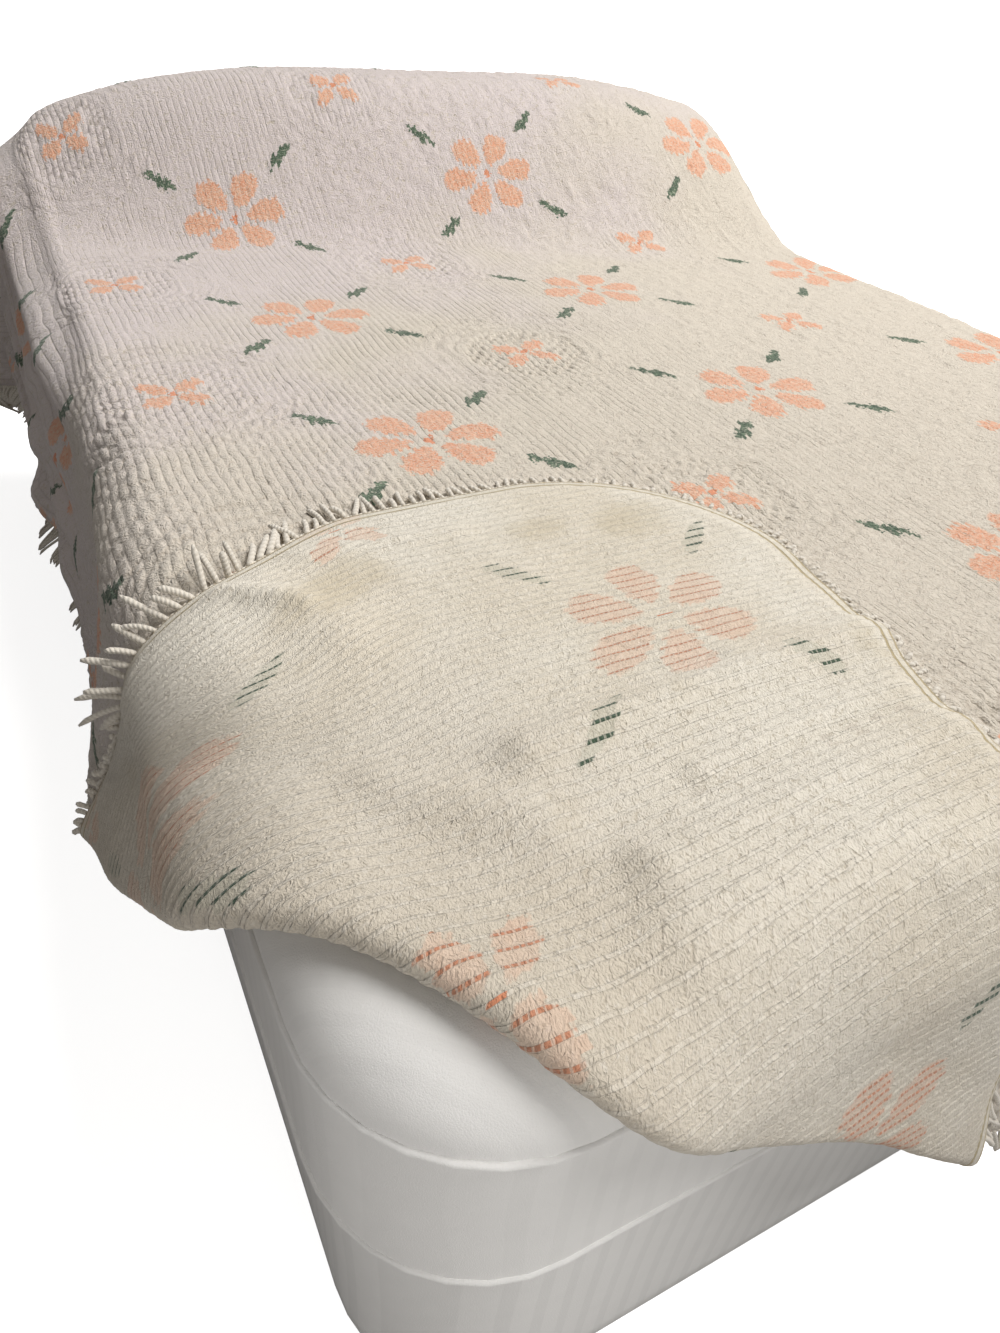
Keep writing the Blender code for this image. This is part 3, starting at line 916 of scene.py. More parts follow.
def hoop_quads(count: int, sides: int) -> Array:
    """Quads of a tube of rings whose last ring joins its first.

    Args:
        count: Number of rings.
        sides: Points in a ring.

    Returns:
        Corner indexes, four a row.
    """
    index = np.arange(count * sides).reshape(count, sides)
    onward, aside = np.roll(index, -1, axis=0), np.roll(index, -1, axis=1)
    return np.stack([index, onward, np.roll(onward, -1, axis=1), aside], axis=-1).reshape(-1, 4)


def tube_quads(count: int, rings: int, sides: int) -> Array:
    """Quads of several tubes of rings, each closed by quads across its two end rings.

    Args:
        count: Number of tubes.
        rings: Rings along each.
        sides: Points in a ring, even.

    Returns:
        Corner indexes, four a row.
    """
    index = np.arange(count * rings * sides).reshape(count, rings, sides)
    first = index[:, 0, 0][:, None, None]
    walls = (band_quads(rings, sides)[None] + first).reshape(-1, 4)
    ends = []
    for ring, way in ((0, -1), (rings - 1, 1)):
        for corner in range(0, sides - 2, 2):
            picks = [0, corner + 1, corner + 2, (corner + 3) % sides]
            ends.append(index[:, ring, picks[::way]])
    return np.concatenate([walls, *ends])


def set_flat_map(mesh: bpy.types.Mesh, flat: Array) -> None:
    """Gives a mesh its flat coordinates, in metres, as its UV map.

    Args:
        mesh: The mesh.
        flat: Two numbers for each of its points.
    """
    corner = np.empty(len(mesh.loops), np.int32)
    mesh.loops.foreach_get("vertex_index", corner)
    layer = mesh.uv_layers.new(name=FLAT_MAP)
    pairs = flat.reshape(-1, 2)[corner]
    layer.uv.foreach_set("vector", pairs.astype(np.float32).reshape(-1))


def set_values(mesh: bpy.types.Mesh, **values: Array) -> None:
    """Gives each corner of a mesh its named numbers.

    Args:
        mesh: The mesh.
        values: A number for each point, by name.
    """
    for name, numbers in values.items():
        made = mesh.attributes.new(name=name, type="FLOAT", domain="POINT")
        made.data.foreach_set("value", numbers.astype(np.float32).reshape(-1))


def add_piece(
    name: str,
    mesh: bpy.types.Mesh,
    looks: list[bpy.types.Material],
    nodes: tuple[str, ...] = (),
) -> bpy.types.Object:
    """Puts a mesh in the scene as a piece of the object.

    Args:
        name: Name of the piece.
        mesh: Its mesh, in place.
        looks: Its materials.
        nodes: The solids that it stands for.

    Returns:
        The piece.
    """
    piece = bpy.data.objects.new(name, mesh)
    for look in looks:
        mesh.materials.append(look)
    bpy.context.scene.collection.objects.link(piece)
    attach(piece, "root")
    if nodes:
        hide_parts(*nodes)
    mesh.calc_loop_triangles()
    LOG.info("%s: %d triangles", name, len(mesh.loop_triangles))
    return piece


# ---------------------------------------------------------------- materials

NODE_OPERATIONS = {
    "add": "ADD",
    "subtract": "SUBTRACT",
    "multiply": "MULTIPLY",
    "divide": "DIVIDE",
    "remainder": "FLOORED_MODULO",
    "absolute": "ABSOLUTE",
    "sqrt": "SQRT",
    "sin": "SINE",
    "cos": "COSINE",
    "arctan2": "ARCTAN2",
    "floor": "FLOOR",
    "rint": "ROUND",
    "maximum": "MAXIMUM",
    "minimum": "MINIMUM",
}


class Wire(NDArrayOperatorsMixin):
    """A value in a shader tree. Sums and numpy functions of it become Math nodes.

    So one formula, such as the level of a petal, serves the relief, on arrays,
    and the colours, on wires.
    """

    def __init__(self, graph: "Graph", socket: bpy.types.NodeSocket) -> None:
        """Keeps the tree and the socket."""
        self.graph, self.socket = graph, socket

    def __array_ufunc__(self, function: np.ufunc, method: str, *values: object) -> "Wire":
        """Adds the node, or nodes, for a numpy function of wires and numbers.

        Args:
            function: The numpy function.
            method: How numpy calls it, here always plainly; not used.
            values: The wires and numbers that it gets.

        Returns:
            Its result.
        """
        if function is np.hypot:
            return np.sqrt(values[0] * values[0] + values[1] * values[1])
        return self.graph.math(NODE_OPERATIONS[function.__name__], *values)


class Graph:
    """A shader tree with short calls for the nodes that this scene needs."""

    def __init__(self, tree: bpy.types.NodeTree) -> None:
        """Keeps the tree."""
        self.tree = tree

    def fill(self, node: bpy.types.Node, inputs: dict) -> None:
        """Gives a node's inputs, by name or number, a wire, a number or a colour.

        Args:
            node: The node.
            inputs: What each input gets.
        """
        for key, value in inputs.items():
            if isinstance(value, Wire):
                self.tree.links.new(value.socket, node.inputs[key])
            elif isinstance(value, tuple):
                node.inputs[key].default_value = (*value, 1.0)
            else:
                node.inputs[key].default_value = value

    def add(self, kind: str, inputs: dict | None = None, **settings: object) -> list[Wire]:
        """Adds a node.

        Args:
            kind: Its type, after the word Node.
            inputs: What its inputs get.
            settings: Its own properties.

        Returns:
            Its outputs.
        """
        made = self.tree.nodes.new(kind if kind.startswith("NodeGroup") else "ShaderNode" + kind)
        for name, value in settings.items():
            setattr(made, name, value)
        self.fill(made, inputs or {})
        return [Wire(self, socket) for socket in made.outputs]

    def math(self, operation: str, *values: object) -> Wire:
        """Result of a Math node."""
        return self.add("Math", dict(enumerate(values)), operation=operation)[0]

    def step(self, value: Wire, low: float, high: float) -> Wire:
        """Soft step of a value from 0 at low to 1 at high; high may be the smaller."""
        limits = {"Value": value, "From Min": low, "From Max": high}
        return self.add("MapRange", limits, interpolation_type="SMOOTHSTEP")[0]

    def mix(self, factor: Wire, first: object, second: object, way: str = "MIX") -> Wire:
        """Mix of two colours."""
        inputs = {0: factor, 6: first, 7: second}
        return self.add("Mix", inputs, data_type="RGBA", blend_type=way)[2]

    def noise(
        self, place: Wire, scale: object, detail: float = 2.0, rough: float = 0.6, bent: float = 0
    ) -> Wire:
        """Noise between 0 and 1 at this many cells a metre."""
        inputs = {"Vector": place, "Scale": scale, "Detail": detail, "Roughness": rough}
        return self.add("TexNoise", {**inputs, "Distortion": bent})[0]

    def chance(self, value: Wire) -> Wire:
        """A random number between -0.5 and 0.5 for each value."""
        return self.add("TexWhiteNoise", {"W": value}, noise_dimensions="1D")[0] - 0.5

    def attribute(self, name: str) -> Wire:
        """A named number of the mesh."""
        return self.add("Attribute", attribute_name=name)[2]

    def flat(self) -> Wire:
        """The mesh's flat coordinates."""
        return self.add("UVMap", uv_map=FLAT_MAP)[0]

    def place(self) -> Wire:
        """The object's own coordinates."""
        return self.add("TexCoord")[3]

    def seen(self) -> Wire:
        """1 where the camera looks straight at it, else 0."""
        return self.add("LightPath")[0]

    def split(self, vector: Wire) -> tuple[Wire, Wire]:
        """The first two numbers of a vector."""
        x, y, _ = self.add("SeparateXYZ", {0: vector})
        return x, y

    def wave(self, value: Wire) -> Wire:
        """Sine between 0 and 1, one wave for each 1 of the value."""
        return np.sin(value * (2 * math.pi)) * 0.5 + 0.5


def start_group(name: str, inputs: dict, outputs: tuple) -> tuple[Graph, list[Wire]]:
    """Begins a node group.

    Args:
        name: Its name.
        inputs: Kind and value of each input, by name.
        outputs: Names of its outputs, all numbers.

    Returns:
        The graph inside it and its inputs.
    """
    tree = bpy.data.node_groups.new(name, "ShaderNodeTree")
    for label, (kind, value) in inputs.items():
        made = tree.interface.new_socket(label, in_out="INPUT", socket_type=kind)
        if value is not None:
            made.default_value = value
    for label in outputs:
        tree.interface.new_socket(label, in_out="OUTPUT", socket_type="NodeSocketFloat")
    graph = Graph(tree)
    return graph, graph.add("NodeGroupInput")


def motif_group(motifs: Motifs) -> bpy.types.NodeTree:
    """Group of masks for the motifs, from flat coordinates in metres.

    The levels of Motifs, each turned into a mask by a soft step, after the
    place is shaken by noise so that the tufts end unevenly.

    Args:
        motifs: Sizes of the flowers and leaves.

    Returns:
        The group.
    """
    inputs = {"Place": ("NodeSocketVector", None), "Shake": ("NodeSocketFloat", 0.004)}
    graph, (place, shake, _) = start_group("motif masks", inputs, ("Petals", "Hearts", "Leaves"))
    x, y = graph.split(place)
    soft = graph.noise(place, 190.0, 1.0) - 0.5
    y = y + shake * (graph.chance(np.floor(x / 0.0052)) + soft)
    x = x + shake * soft * 1.5
    petals = np.minimum(motifs.petal_level(x, y), motifs.small_level(x, y))
    masks = {
        "Petals": graph.step(petals, 1.10, 0.94),
        "Hearts": graph.step(motifs.heart_level(x, y), 1.15, 0.85),
        "Leaves": graph.step(motifs.leaf_level(x, y), 1.12, 0.92),
    }
    graph.add("NodeGroupOutput", masks)
    return graph.tree


def fuzz_group() -> bpy.types.NodeTree:
    """Group of a cotton fuzz: a height for bump and a tint, from two grains of noise.

    The coarse grain makes curls: they stand highest where it crosses its middle.

    Returns:
        The group.
    """
    inputs = {
        "Place": ("NodeSocketVector", None),
        "Grain": ("NodeSocketFloat", 420.0),
        "Curl": ("NodeSocketFloat", 0.5),
    }
    graph, (place, grain, curl, _) = start_group("cotton fuzz", inputs, ("Height", "Tint"))
    fine = graph.noise(place, grain, 3.0, 0.5)
    coarse = graph.noise(place, grain * 0.31, 2.0, 0.5, 1.2)
    loops = 1.0 - np.abs(coarse * 2.0 - 1.0) * 2.4
    graph.add("NodeGroupOutput", {"Height": loops * curl + fine, "Tint": (coarse + fine) * 0.5})
    return graph.tree


class Look(Graph):
    """The tree of one matt material."""

    def __init__(self, name: str, roughness: float = 0.95, sheen: float = 0.25) -> None:
        """Makes the material with its constants.

        Args:
            name: The material's name.
            roughness: Its roughness.
            sheen: Weight of its sheen.
        """
        self.material = bpy.data.materials.new(name)
        self.material.use_nodes = True
        super().__init__(self.material.node_tree)
        self.shader = self.tree.nodes["Principled BSDF"]
        constants = {"Roughness": roughness, "Specular IOR Level": 0.2}
        self.fill(self.shader, {**constants, "Sheen Weight": sheen, "Sheen Roughness": 0.6})

    def group(self, tree: bpy.types.NodeTree, **inputs: object) -> list[Wire]:
        """Outputs of a node group placed with its own values."""
        return self.add("Group", inputs, node_tree=tree)

    def layered(self, colour: Wire, *layers: tuple) -> Wire:
        """A colour with others laid over it in order, each given as a mask and a colour.

        Args:
            colour: The lowest colour.
            layers: A mask and a colour each.

        Returns:
            The top colour.
        """
        for mask, over in layers:
            colour = self.mix(mask, colour, over)
        return colour

    def finish(self, colour: Wire, height: Wire, depth: float) -> bpy.types.Material:
        """Joins a colour and a bump height, of a depth in metres, and gives the material.

        Args:
            colour: The base colour.
            height: Height for the bump.
            depth: Its depth, in metres.

        Returns:
            The material.
        """
        bump = self.add("Bump", {"Height": height, "Strength": 1.0, "Distance": depth})[0]
        self.fill(self.shader, {"Base Color": colour, "Normal": bump})
        return self.material


@dataclass(frozen=True)
class YarnColours:
    """Colours of the cotton, linear."""

    cool: tuple = (0.655, 0.583, 0.569)
    warm: tuple = (0.655, 0.593, 0.501)
    shadow: tuple = (0.560, 0.490, 0.405)
    # Painted highlight: pale specks scattered over the pile.
    tuft_tip: tuple = (0.740, 0.690, 0.610)
    wrong: tuple = (0.745, 0.675, 0.555)
    wrong_pale: tuple = (0.81, 0.76, 0.66)
    wrong_dark: tuple = (0.52, 0.46, 0.36)
    lint: tuple = (0.84, 0.79, 0.70)
    stain: tuple = (0.52, 0.43, 0.27)
    hem: tuple = (0.76, 0.70, 0.58)
    seam: tuple = (0.46, 0.36, 0.18)
    # Painted shade over the turned corner near its fold.
    soiled: tuple = (0.51, 0.445, 0.365)
    peach: tuple = (0.700, 0.315, 0.185)
    peach_pale: tuple = (0.750, 0.480, 0.340)
    heart: tuple = (0.70, 0.28, 0.15)
    leaf: tuple = (0.050, 0.090, 0.052)
    leaf_pale: tuple = (0.17, 0.23, 0.15)
    # Painted shade in the groove, then the crown, of the fringe's plies and of the hem's whipped
    # stitches.
    ply: tuple = ((0.64, 0.59, 0.51), (0.75, 0.70, 0.62))
    whip: tuple = ((0.56, 0.50, 0.41), (0.78, 0.73, 0.64))
    ticking: tuple = (0.92, 0.91, 0.89)
    cover: tuple = (0.90, 0.89, 0.87)
    linen: tuple = (0.82, 0.81, 0.78)
    # Painted shade in the valleys between the tufts: what they keep of the colour.
    valley: tuple = (0.55, 0.5225, 0.484)


def scaled(colour: tuple, share: float) -> tuple:
    """A colour made darker by a share."""
    return tuple(part * share for part in colour)


class Finishes:
    """The materials, built once."""

    # Length of the fringe's twist, from one whipped stitch to the next, and
    # from one broad stripe of the plain cloths to the next.
    twist: float = 0.0085
    whip_pitch: float = 0.0045
    stripe_pitch: float = 0.024

    def __init__(self, motifs: Motifs, tufting: Tufting, wrong: WrongSide) -> None:
        """Builds the two groups and every material.

        Args:
            motifs: The flowers and leaves.
            tufting: The tufted rows.
            wrong: The wrong side.
        """
        self.colours = c = YarnColours()
        self.motif_tree = motif_group(motifs)
        self.fuzz_tree = fuzz_group()
        self.front = self.make_front(tufting)
        self.back = self.make_back(wrong)
        self.fringe = self.make_fringe()
        self.hem = self.make_hem()
        self.ticking = self.make_cloth("mattress ticking", c.ticking, 900.0, 0.05)
        self.cover = self.make_cloth("base cover", c.cover, 650.0, 0.10)
        self.linen = self.make_cloth("pillow linen", c.linen, 1000.0, 0.05)

    def make_front(self, tufting: Tufting) -> bpy.types.Material:
        """Tufted pile: cream with painted shade in its valleys and gaps, painted highlight specks,
        and the coloured motifs.

        Args:
            tufting: The tufted rows.

        Returns:
            The material.
        """
        c, look = self.colours, Look("chenille pile")
        flat = look.flat()
        x, y = look.split(flat)
        fuzz, tint = look.group(self.fuzz_tree, Place=flat, Grain=430.0, Curl=0.6)
        petals, hearts, leaves = look.group(self.motif_tree, Place=flat, Shake=0.012)
        drift = look.noise(flat, 3.2) * 1.4 - y * 0.9 + x * 0.7 + 0.30
        petal = look.mix(look.step(tint, 0.38, 0.60), c.peach, c.peach_pale)
        leaf = look.mix(look.step(tint, 0.46, 0.62), c.leaf, c.leaf_pale)
        speck = look.step(look.noise(flat, 260.0, 1.0), 0.56, 0.66)
        colour = look.layered(
            look.mix(look.step(drift, 0.35, 1.0), c.cool, c.warm),
            (look.step(tint, 0.50, 0.36), c.shadow),
            # Painted highlight specks over the pile.
            (look.step(look.noise(flat, 330.0), 0.56, 0.70) * 0.55, c.tuft_tip),
            (petals, look.mix(speck * 0.55, petal, c.warm)),
            (hearts, c.heart),
            (leaves, look.mix(speck * 0.42, leaf, c.warm)),
        )
        pit = self.pits(look, x, y, tufting) * (1.0 - petals * 0.9)
        # Painted shade: low pile and the gaps between the tufts darken the colour.
        low = np.maximum(look.step(look.attribute("pile"), 0.50, 0.05), pit * 0.35)
        colour = look.mix(low * 0.9, colour, c.valley, "MULTIPLY")
        return look.finish(colour, fuzz - pit * 0.35, 0.0016)

    def pits(self, look: Look, x: Wire, y: Wire, tufting: Tufting) -> Wire:
        """Mask of the thin gaps between the tufts: the cuts of Tufting, drawn finer, for painted
        shade in them and a dip in the bump.

        Args:
            look: The material's tree.
            x: Flat place across the cloth.
            y: Flat place along it.
            tufting: Sizes of the rows, dashes and knobs.

        Returns:
            The mask.
        """
        row = look.attribute("row")
        s, t = tufting.motifs.cell(x, y, 0.5)
        reach = np.hypot(s, t) + look.noise(look.flat(), 30.0) * 0.02
        ring = reach / tufting.ring_step + look.chance(np.floor(row)) * 0.6
        steep = look.step(np.abs(t) / np.maximum(reach, 0.01), 0.25, 0.5)
        cut = look.step(off_middle(ring), 0.37, 0.44) * steep
        cut = cut * look.step(reach, tufting.knob_reach - tufting.soft, tufting.knob_reach) * 0.7
        cut = cut * look.step(reach, tufting.dash_reach, tufting.dash_reach - tufting.soft)
        worn = look.step(look.noise(look.flat(), 9.0), 0.60, 0.42)
        # Painted shade in a thin line between the rows, in patches.
        shaded_groove = look.step(off_middle(row), 0.38, 0.48) * worn
        return np.maximum(cut, shaded_groove) * (1.0 - look.attribute("matted") * 0.75)

    def make_back(self, wrong: WrongSide) -> bpy.types.Material:
        """Wrong side: felted ground, dotted stitch lines, motifs in dashes, faint stains, painted
        shade beside the stitches and near the fold.

        Args:
            wrong: Sizes of the wrong side.

        Returns:
            The material.
        """
        c, look = self.colours, Look("chenille wrong side")
        flat = look.flat()
        x, y = look.split(flat)
        fuzz, tint = look.group(self.fuzz_tree, Place=flat, Grain=680.0, Curl=0.45)
        petals, hearts, leaves = look.group(self.motif_tree, Place=flat, Shake=0.008)
        line = np.cos((x + look.noise(flat, 26.0) * 0.004) * (2 * math.pi / wrong.stitch_pitch))
        stitch = look.step(line, 0.74, 0.86)
        phase = y * (2 * math.pi / wrong.bead_pitch) + look.noise(flat, 60.0) * 9.0
        beads = look.step(np.cos(phase), -0.75, -0.1)
        broken = look.step(look.noise(flat, 150.0, 1.0), 0.40, 0.56)
        dashes = stitch * broken
        # Painted shade beside the stitch lines; the same mask dips the bump.
        shaded_groove = (look.step(line, 0.39, 0.64) - stitch) * (1.15 - broken)
        clear = look.step(look.noise(flat, 8.0), 0.42, 0.62)
        near_fold = look.attribute("fold") + look.noise(flat, 7.0) * 0.16
        wash = look.noise(flat, 45.0) * 0.50 + 0.18
        hem = look.attribute("hem")
        band = look.step(hem, wrong.hem_width, wrong.hem_width - 0.0015)
        inner, outer = (look.step(np.abs(hem - away), 0.0019, 0.0010) for away in wrong.seams)
        seam = np.maximum(inner, outer)
        colour = look.layered(
            look.mix(look.step(look.noise(flat, 5.0), 0.36, 0.66), c.wrong, c.wrong_pale),
            (look.step(tint, 0.50, 0.36) * 0.8, c.wrong_dark),
            (look.step(look.noise(flat, 240.0), 0.59, 0.68) * 0.7, c.lint),
            (self.stained(look, x, y, wrong), c.stain),
            # Painted shade near the fold, in soft patches.
            (look.step(near_fold, -0.22, 0.12) * 0.45, c.soiled),
            (dashes * 0.30, c.lint),
            (shaded_groove * (clear * 0.30 + 0.07), scaled(c.wrong, 0.45)),
            (petals * wash, c.peach_pale),
            (petals * stitch * look.step(beads, -0.6, 1.0), scaled(c.peach, 0.80)),
            (leaves * 0.20, c.leaf_pale),
            (leaves * look.step(line, 0.56, 0.68) * look.step(beads, -0.6, 0.6), c.leaf),
            (hearts * stitch, c.heart),
            (band * 0.55, c.hem),
            (seam * 0.85, c.seam),
        )
        return look.finish(colour, fuzz + dashes * 0.35 - shaded_groove * 0.35 - seam * 1.2, 0.0013)

    def stained(self, look: Look, x: Wire, y: Wire, wrong: WrongSide) -> Wire:
        """Mask of the stains: faint spots everywhere, and the placed ones as ragged ovals.

        Args:
            look: The material's tree.
            x: Flat place across the cloth.
            y: Flat place along it.
            wrong: The wrong side, with the stains' places.

        Returns:
            The mask.
        """
        spots = look.step(look.noise(look.flat(), 9.0, 3.0), 0.58, 0.74) * 0.3
        for at_x, at_y, wide, long in wrong.stains:
            off_x, off_y = (x - at_x) / wide, (y - at_y) / long
            square = off_x * off_x + off_y * off_y + look.noise(look.flat(), 22.0, 3.0) * 1.6
            spots = np.maximum(spots, look.step(square, 1.9, 0.7) * 0.42)
        return spots

    def make_fringe(self) -> bpy.types.Material:
        """Twisted cotton: spiral plies with painted shade in their grooves, from the strand's own
        turn and length.

        Returns:
            The material.
        """
        look = Look("fringe yarn")
        turn, along = look.split(look.flat())
        ply = look.wave(turn * 2.0 + along * (2.0 / self.twist))
        fuzz = look.group(self.fuzz_tree, Place=look.place(), Grain=900.0, Curl=0.2)[0]
        colour = look.mix(ply, *self.colours.ply)
        return look.finish(colour, fuzz * 0.6 + ply, 0.0005)

    def make_hem(self) -> bpy.types.Material:
        """Rolled cotton edge with whipped stitches along it, painted shade between them.

        Returns:
            The material.
        """
        look = Look("hem yarn", sheen=0.30)
        turn, along = look.split(look.flat())
        whip = look.wave(turn * (6.0 / (2 * math.pi)) + along / self.whip_pitch)
        fuzz = look.group(self.fuzz_tree, Place=look.place(), Grain=800.0, Curl=0.2)[0]
        colour = look.mix(whip, *self.colours.whip)
        return look.finish(colour, fuzz * 0.5 + whip, 0.0008)

    def make_cloth(
        self, name: str, colour: tuple, threads: float, stripe: float
    ) -> bpy.types.Material:
        """Plain woven cloth: this many threads a metre, with a faint broad stripe.

        Args:
            name: The material's name.
            colour: The cloth's colour.
            threads: Threads a metre.
            stripe: Strength of the stripe.

        Returns:
            The material.
        """
        look = Look(name, 0.90, 0.15)
        place = look.place()
        x, y = look.split(place)
        broad = np.sin((x + y) * (2 * math.pi / self.stripe_pitch))
        tone = look.step(broad, 0.2, 0.5) * stripe + look.noise(place, 30.0) * 0.12
        shade = look.mix(tone, colour, scaled(colour, 0.55))
        return look.finish(shade, look.noise(place, threads, 3.0), 0.0004)


# ---------------------------------------------------------------- sub-assemblies


@dataclass
class Bedspread:
    """The spread: its ground sheet, the pile on its front, its wrong side and its hem."""

    cloth: Cloth
    tufting: Tufting
    wrong: WrongSide
    looks: Finishes
    # Rows and columns of the ground sheet's grid.
    spacing: float = 0.0190
    columns: int = 160
    # The pile stops this far short of the cut edge. It is built from so far
    # inside it and off the fold, and to so far under the turned corner.
    hem_bare: float = 0.013
    pile_limits: tuple = (0.004, 0.045, 0.055)
    # The same for the wrong side's surface: inside the cut edge, and past the fold.
    wrong_limits: tuple = (0.0015, 0.028)
    # How far the pile and the wrong side's surface dip into the sheet at their edges.
    tuck: tuple = (0.0012, 0.0008)
    hem_radius: float = 0.0026
    hem_points: tuple = (900, 260)

    def diagonal_rows(self) -> Array:
        """Distances from the fold line of the sheet's rows, close together round the fold.

        Returns:
            Distances, from the foot's left corner on.
        """
        cloth = self.cloth
        low = cloth.across_fold(-cloth.side_hem, -cloth.foot_hem) + cloth.foot_corner * (ROOT2 - 1)
        high = cloth.across_fold(cloth.side_hem, cloth.head_hem) - cloth.head_corner * (ROOT2 - 1)
        turn = cloth.fold_radius * math.pi / 2
        near = np.linspace(-2.2 * turn, 2.2 * turn, 23)
        before = np.arange(near[0] - self.spacing, low + 0.002, -self.spacing)[::-1]
        after = np.arange(near[-1] + self.spacing, high - 0.002, self.spacing)
        return np.concatenate([[low + 0.0006], before, near, after, [high - 0.0006]])

    def sheet_grid(self) -> tuple[Array, Array]:
        """Flat coordinates of the sheet's grid.

        Each row is a line parallel to the fold, from cut edge to cut edge. The
        ends are found by halving: a point inside the cut and one outside close
        in on it together.

        Returns:
            x and y, each an array of rows and columns.
        """
        cloth = self.cloth
        total = self.diagonal_rows() * ROOT2 - cloth.fold_sum
        reach = 2 * (cloth.side_hem + min(cloth.foot_hem, cloth.head_hem))
        foot_more, head_more = cloth.foot_hem - cloth.side_hem, cloth.head_hem - cloth.side_hem
        middle = np.where(total < -foot_more, foot_more, 0.0)
        middle = np.where(total > head_more, -head_more, middle)
        ends = []
        for sign in (-1.0, 1.0):
            inside, outside = middle.copy(), middle + sign * reach
            for _ in range(40):
                guess = (inside + outside) / 2
                held = cloth.from_hem((total + guess) / 2, (total - guess) / 2) > 0
                inside = np.where(held, guess, inside)
                outside = np.where(held, outside, guess)
            ends.append(inside)
        gap = np.linspace(*ends, self.columns, axis=1)
        return (total[:, None] + gap) / 2, (total[:, None] - gap) / 2

    def build_sheet(self) -> bpy.types.Object:
        """The ground sheet: front and back grids half a thickness off the middle, with a rim.

        Returns:
            The piece.
        """
        cloth = self.cloth
        x, y = self.sheet_grid()
        rows, columns = x.shape
        point, normal, _ = cloth.frame_at(x, y)
        half = normal * cloth.thickness / 2
        quads = shell_quads(rows, columns)
        mesh = quad_mesh("bedspread", np.stack([point + half, point - half]), quads)
        set_flat_map(mesh, np.stack([np.stack(cloth.flat_place(x, y), axis=-1)] * 2))
        plain = np.ones(2 * x.size)
        set_values(mesh, hem=np.stack([cloth.from_hem(x, y)] * 2), matted=plain)
        set_values(mesh, pile=plain * 0.35, row=plain * 0.5)
        on_back = np.arange(len(quads)) >= (rows - 1) * (columns - 1)
        mesh.polygons.foreach_set("material_index", on_back.astype(np.int32))
        looks = [self.looks.front, self.looks.back]
        return add_piece("bedspread_sheet", mesh, looks, ("bedspread",))

    def patch(
        self,
        name: str,
        place: tuple[Array, Array],
        shown: Array,
        rise: Array,
        face: Face,
        row_x: Array | None = None,
    ) -> bpy.types.Object:
        """A surface standing off one face of the sheet, where it is shown.

        Each point is the cloth's own, moved along the face's normal by half
        the thickness and the rise, which is lower where the cloth is bunched.

        Args:
            name: Name of the piece.
            place: x and y on the flat cloth, rows and columns.
            shown: Which points are wanted; a quad with one of them is kept.
            rise: Height off the face.
            face: The face of the cloth.
            row_x: Places across the tufted rows before they stray, where it has rows.

        Returns:
            The piece.
        """
        cloth, tufting = self.cloth, self.tufting
        keep = shown[:-1, :-1] | shown[:-1, 1:] | shown[1:, 1:] | shown[1:, :-1]
        used, quads = np.unique(grid_quads(*shown.shape)[keep], return_inverse=True)
        quads = quads.reshape(-1, 4)
        if face is Face.BACK:
            quads = quads[:, ::-1]
        x, y, lift = (values.reshape(-1)[used] for values in (*place, rise))
        point, normal, tight = cloth.frame_at(x, y)
        flat = cloth.flat_place(x, y)
        off = face.value * (cloth.thickness / 2 + np.where(lift > 0, lift * tight**0.7, lift))
        mesh = quad_mesh(name, point + normal * off[:, None], quads)
        set_flat_map(mesh, np.stack(flat, axis=-1))
        set_values(mesh, hem=cloth.from_hem(x, y), fold=cloth.across_fold(x, y))
        if row_x is not None:
            row = row_x.reshape(-1)[used] / tufting.row_pitch
            pile = np.clip(lift / tufting.height, 0, 1)
            set_values(mesh, pile=pile, row=row, matted=tufting.matted(*flat))
        look = self.looks.front if face is Face.FRONT else self.looks.back
        return add_piece(name, mesh, [look])

    def build_pile(self) -> list[bpy.types.Object]:
        """The tufted pile, in strips side by side that meet in a valley between rows.

        Returns:
            The pieces, from left to right.
        """
        cloth, tufting = self.cloth, self.tufting
        pieces = []
        for number, (low, high, step) in enumerate(tufting.strips):
            start, stop = round(low / tufting.row_pitch), round(high / tufting.row_pitch)
            lines = np.arange(start, stop)[:, None] + np.array(tufting.columns)
            lines_x = np.append(lines.reshape(-1), stop) * tufting.row_pitch
            rows = round((cloth.head_hem + cloth.foot_hem) / step)
            lines_y = np.linspace(-cloth.foot_hem, cloth.head_hem, rows + 1)
            row_x, y = np.meshgrid(lines_x, lines_y)
            x = np.clip(row_x + tufting.wander(row_x, y), -cloth.side_hem, cloth.side_hem)
            hem, fold, under = cloth.from_hem(x, y), cloth.across_fold(x, y), cloth.under_flap(x, y)
            inside, off_fold, tucked = self.pile_limits
            shown = (hem > inside) & (fold > off_fold) & (under < tucked)
            pressed = 1 - 0.40 * ramp(under, -0.004, 0.002)
            rise = 0.0006 + tufting.heights(row_x, *cloth.flat_place(x, y)) * pressed
            rise = blend(-self.tuck[0], rise, ramp(hem, self.hem_bare, self.hem_bare + 0.006))
            name = f"bedspread_pile_{number + 1}"
            pieces.append(self.patch(name, (x, y), shown, rise, Face.FRONT, row_x))
        return pieces

    def build_wrong_side(self) -> bpy.types.Object:
        """The wrong side of the turned corner, round its fold and a little under it.

        Returns:
            The piece.
        """
        cloth = self.cloth
        step_x, step_y = self.wrong.step
        last_x = cloth.foot_hem - cloth.fold_sum + 0.08
        last_y = cloth.side_hem - cloth.fold_sum + 0.08
        x, y = np.meshgrid(
            np.arange(-cloth.side_hem, last_x, step_x), np.arange(-cloth.foot_hem, last_y, step_y)
        )
        hem, fold = cloth.from_hem(x, y), cloth.across_fold(x, y)
        shown = (hem > self.wrong_limits[0]) & (fold < self.wrong_limits[1])
        edge = ramp(hem, 0.001, 0.005) * ramp(fold, 0.030, 0.022)
        rise = blend(-self.tuck[1], self.wrong.heights(x, y, hem), edge)
        return self.patch("bedspread_wrong_side", (x, y), shown, rise, Face.BACK)

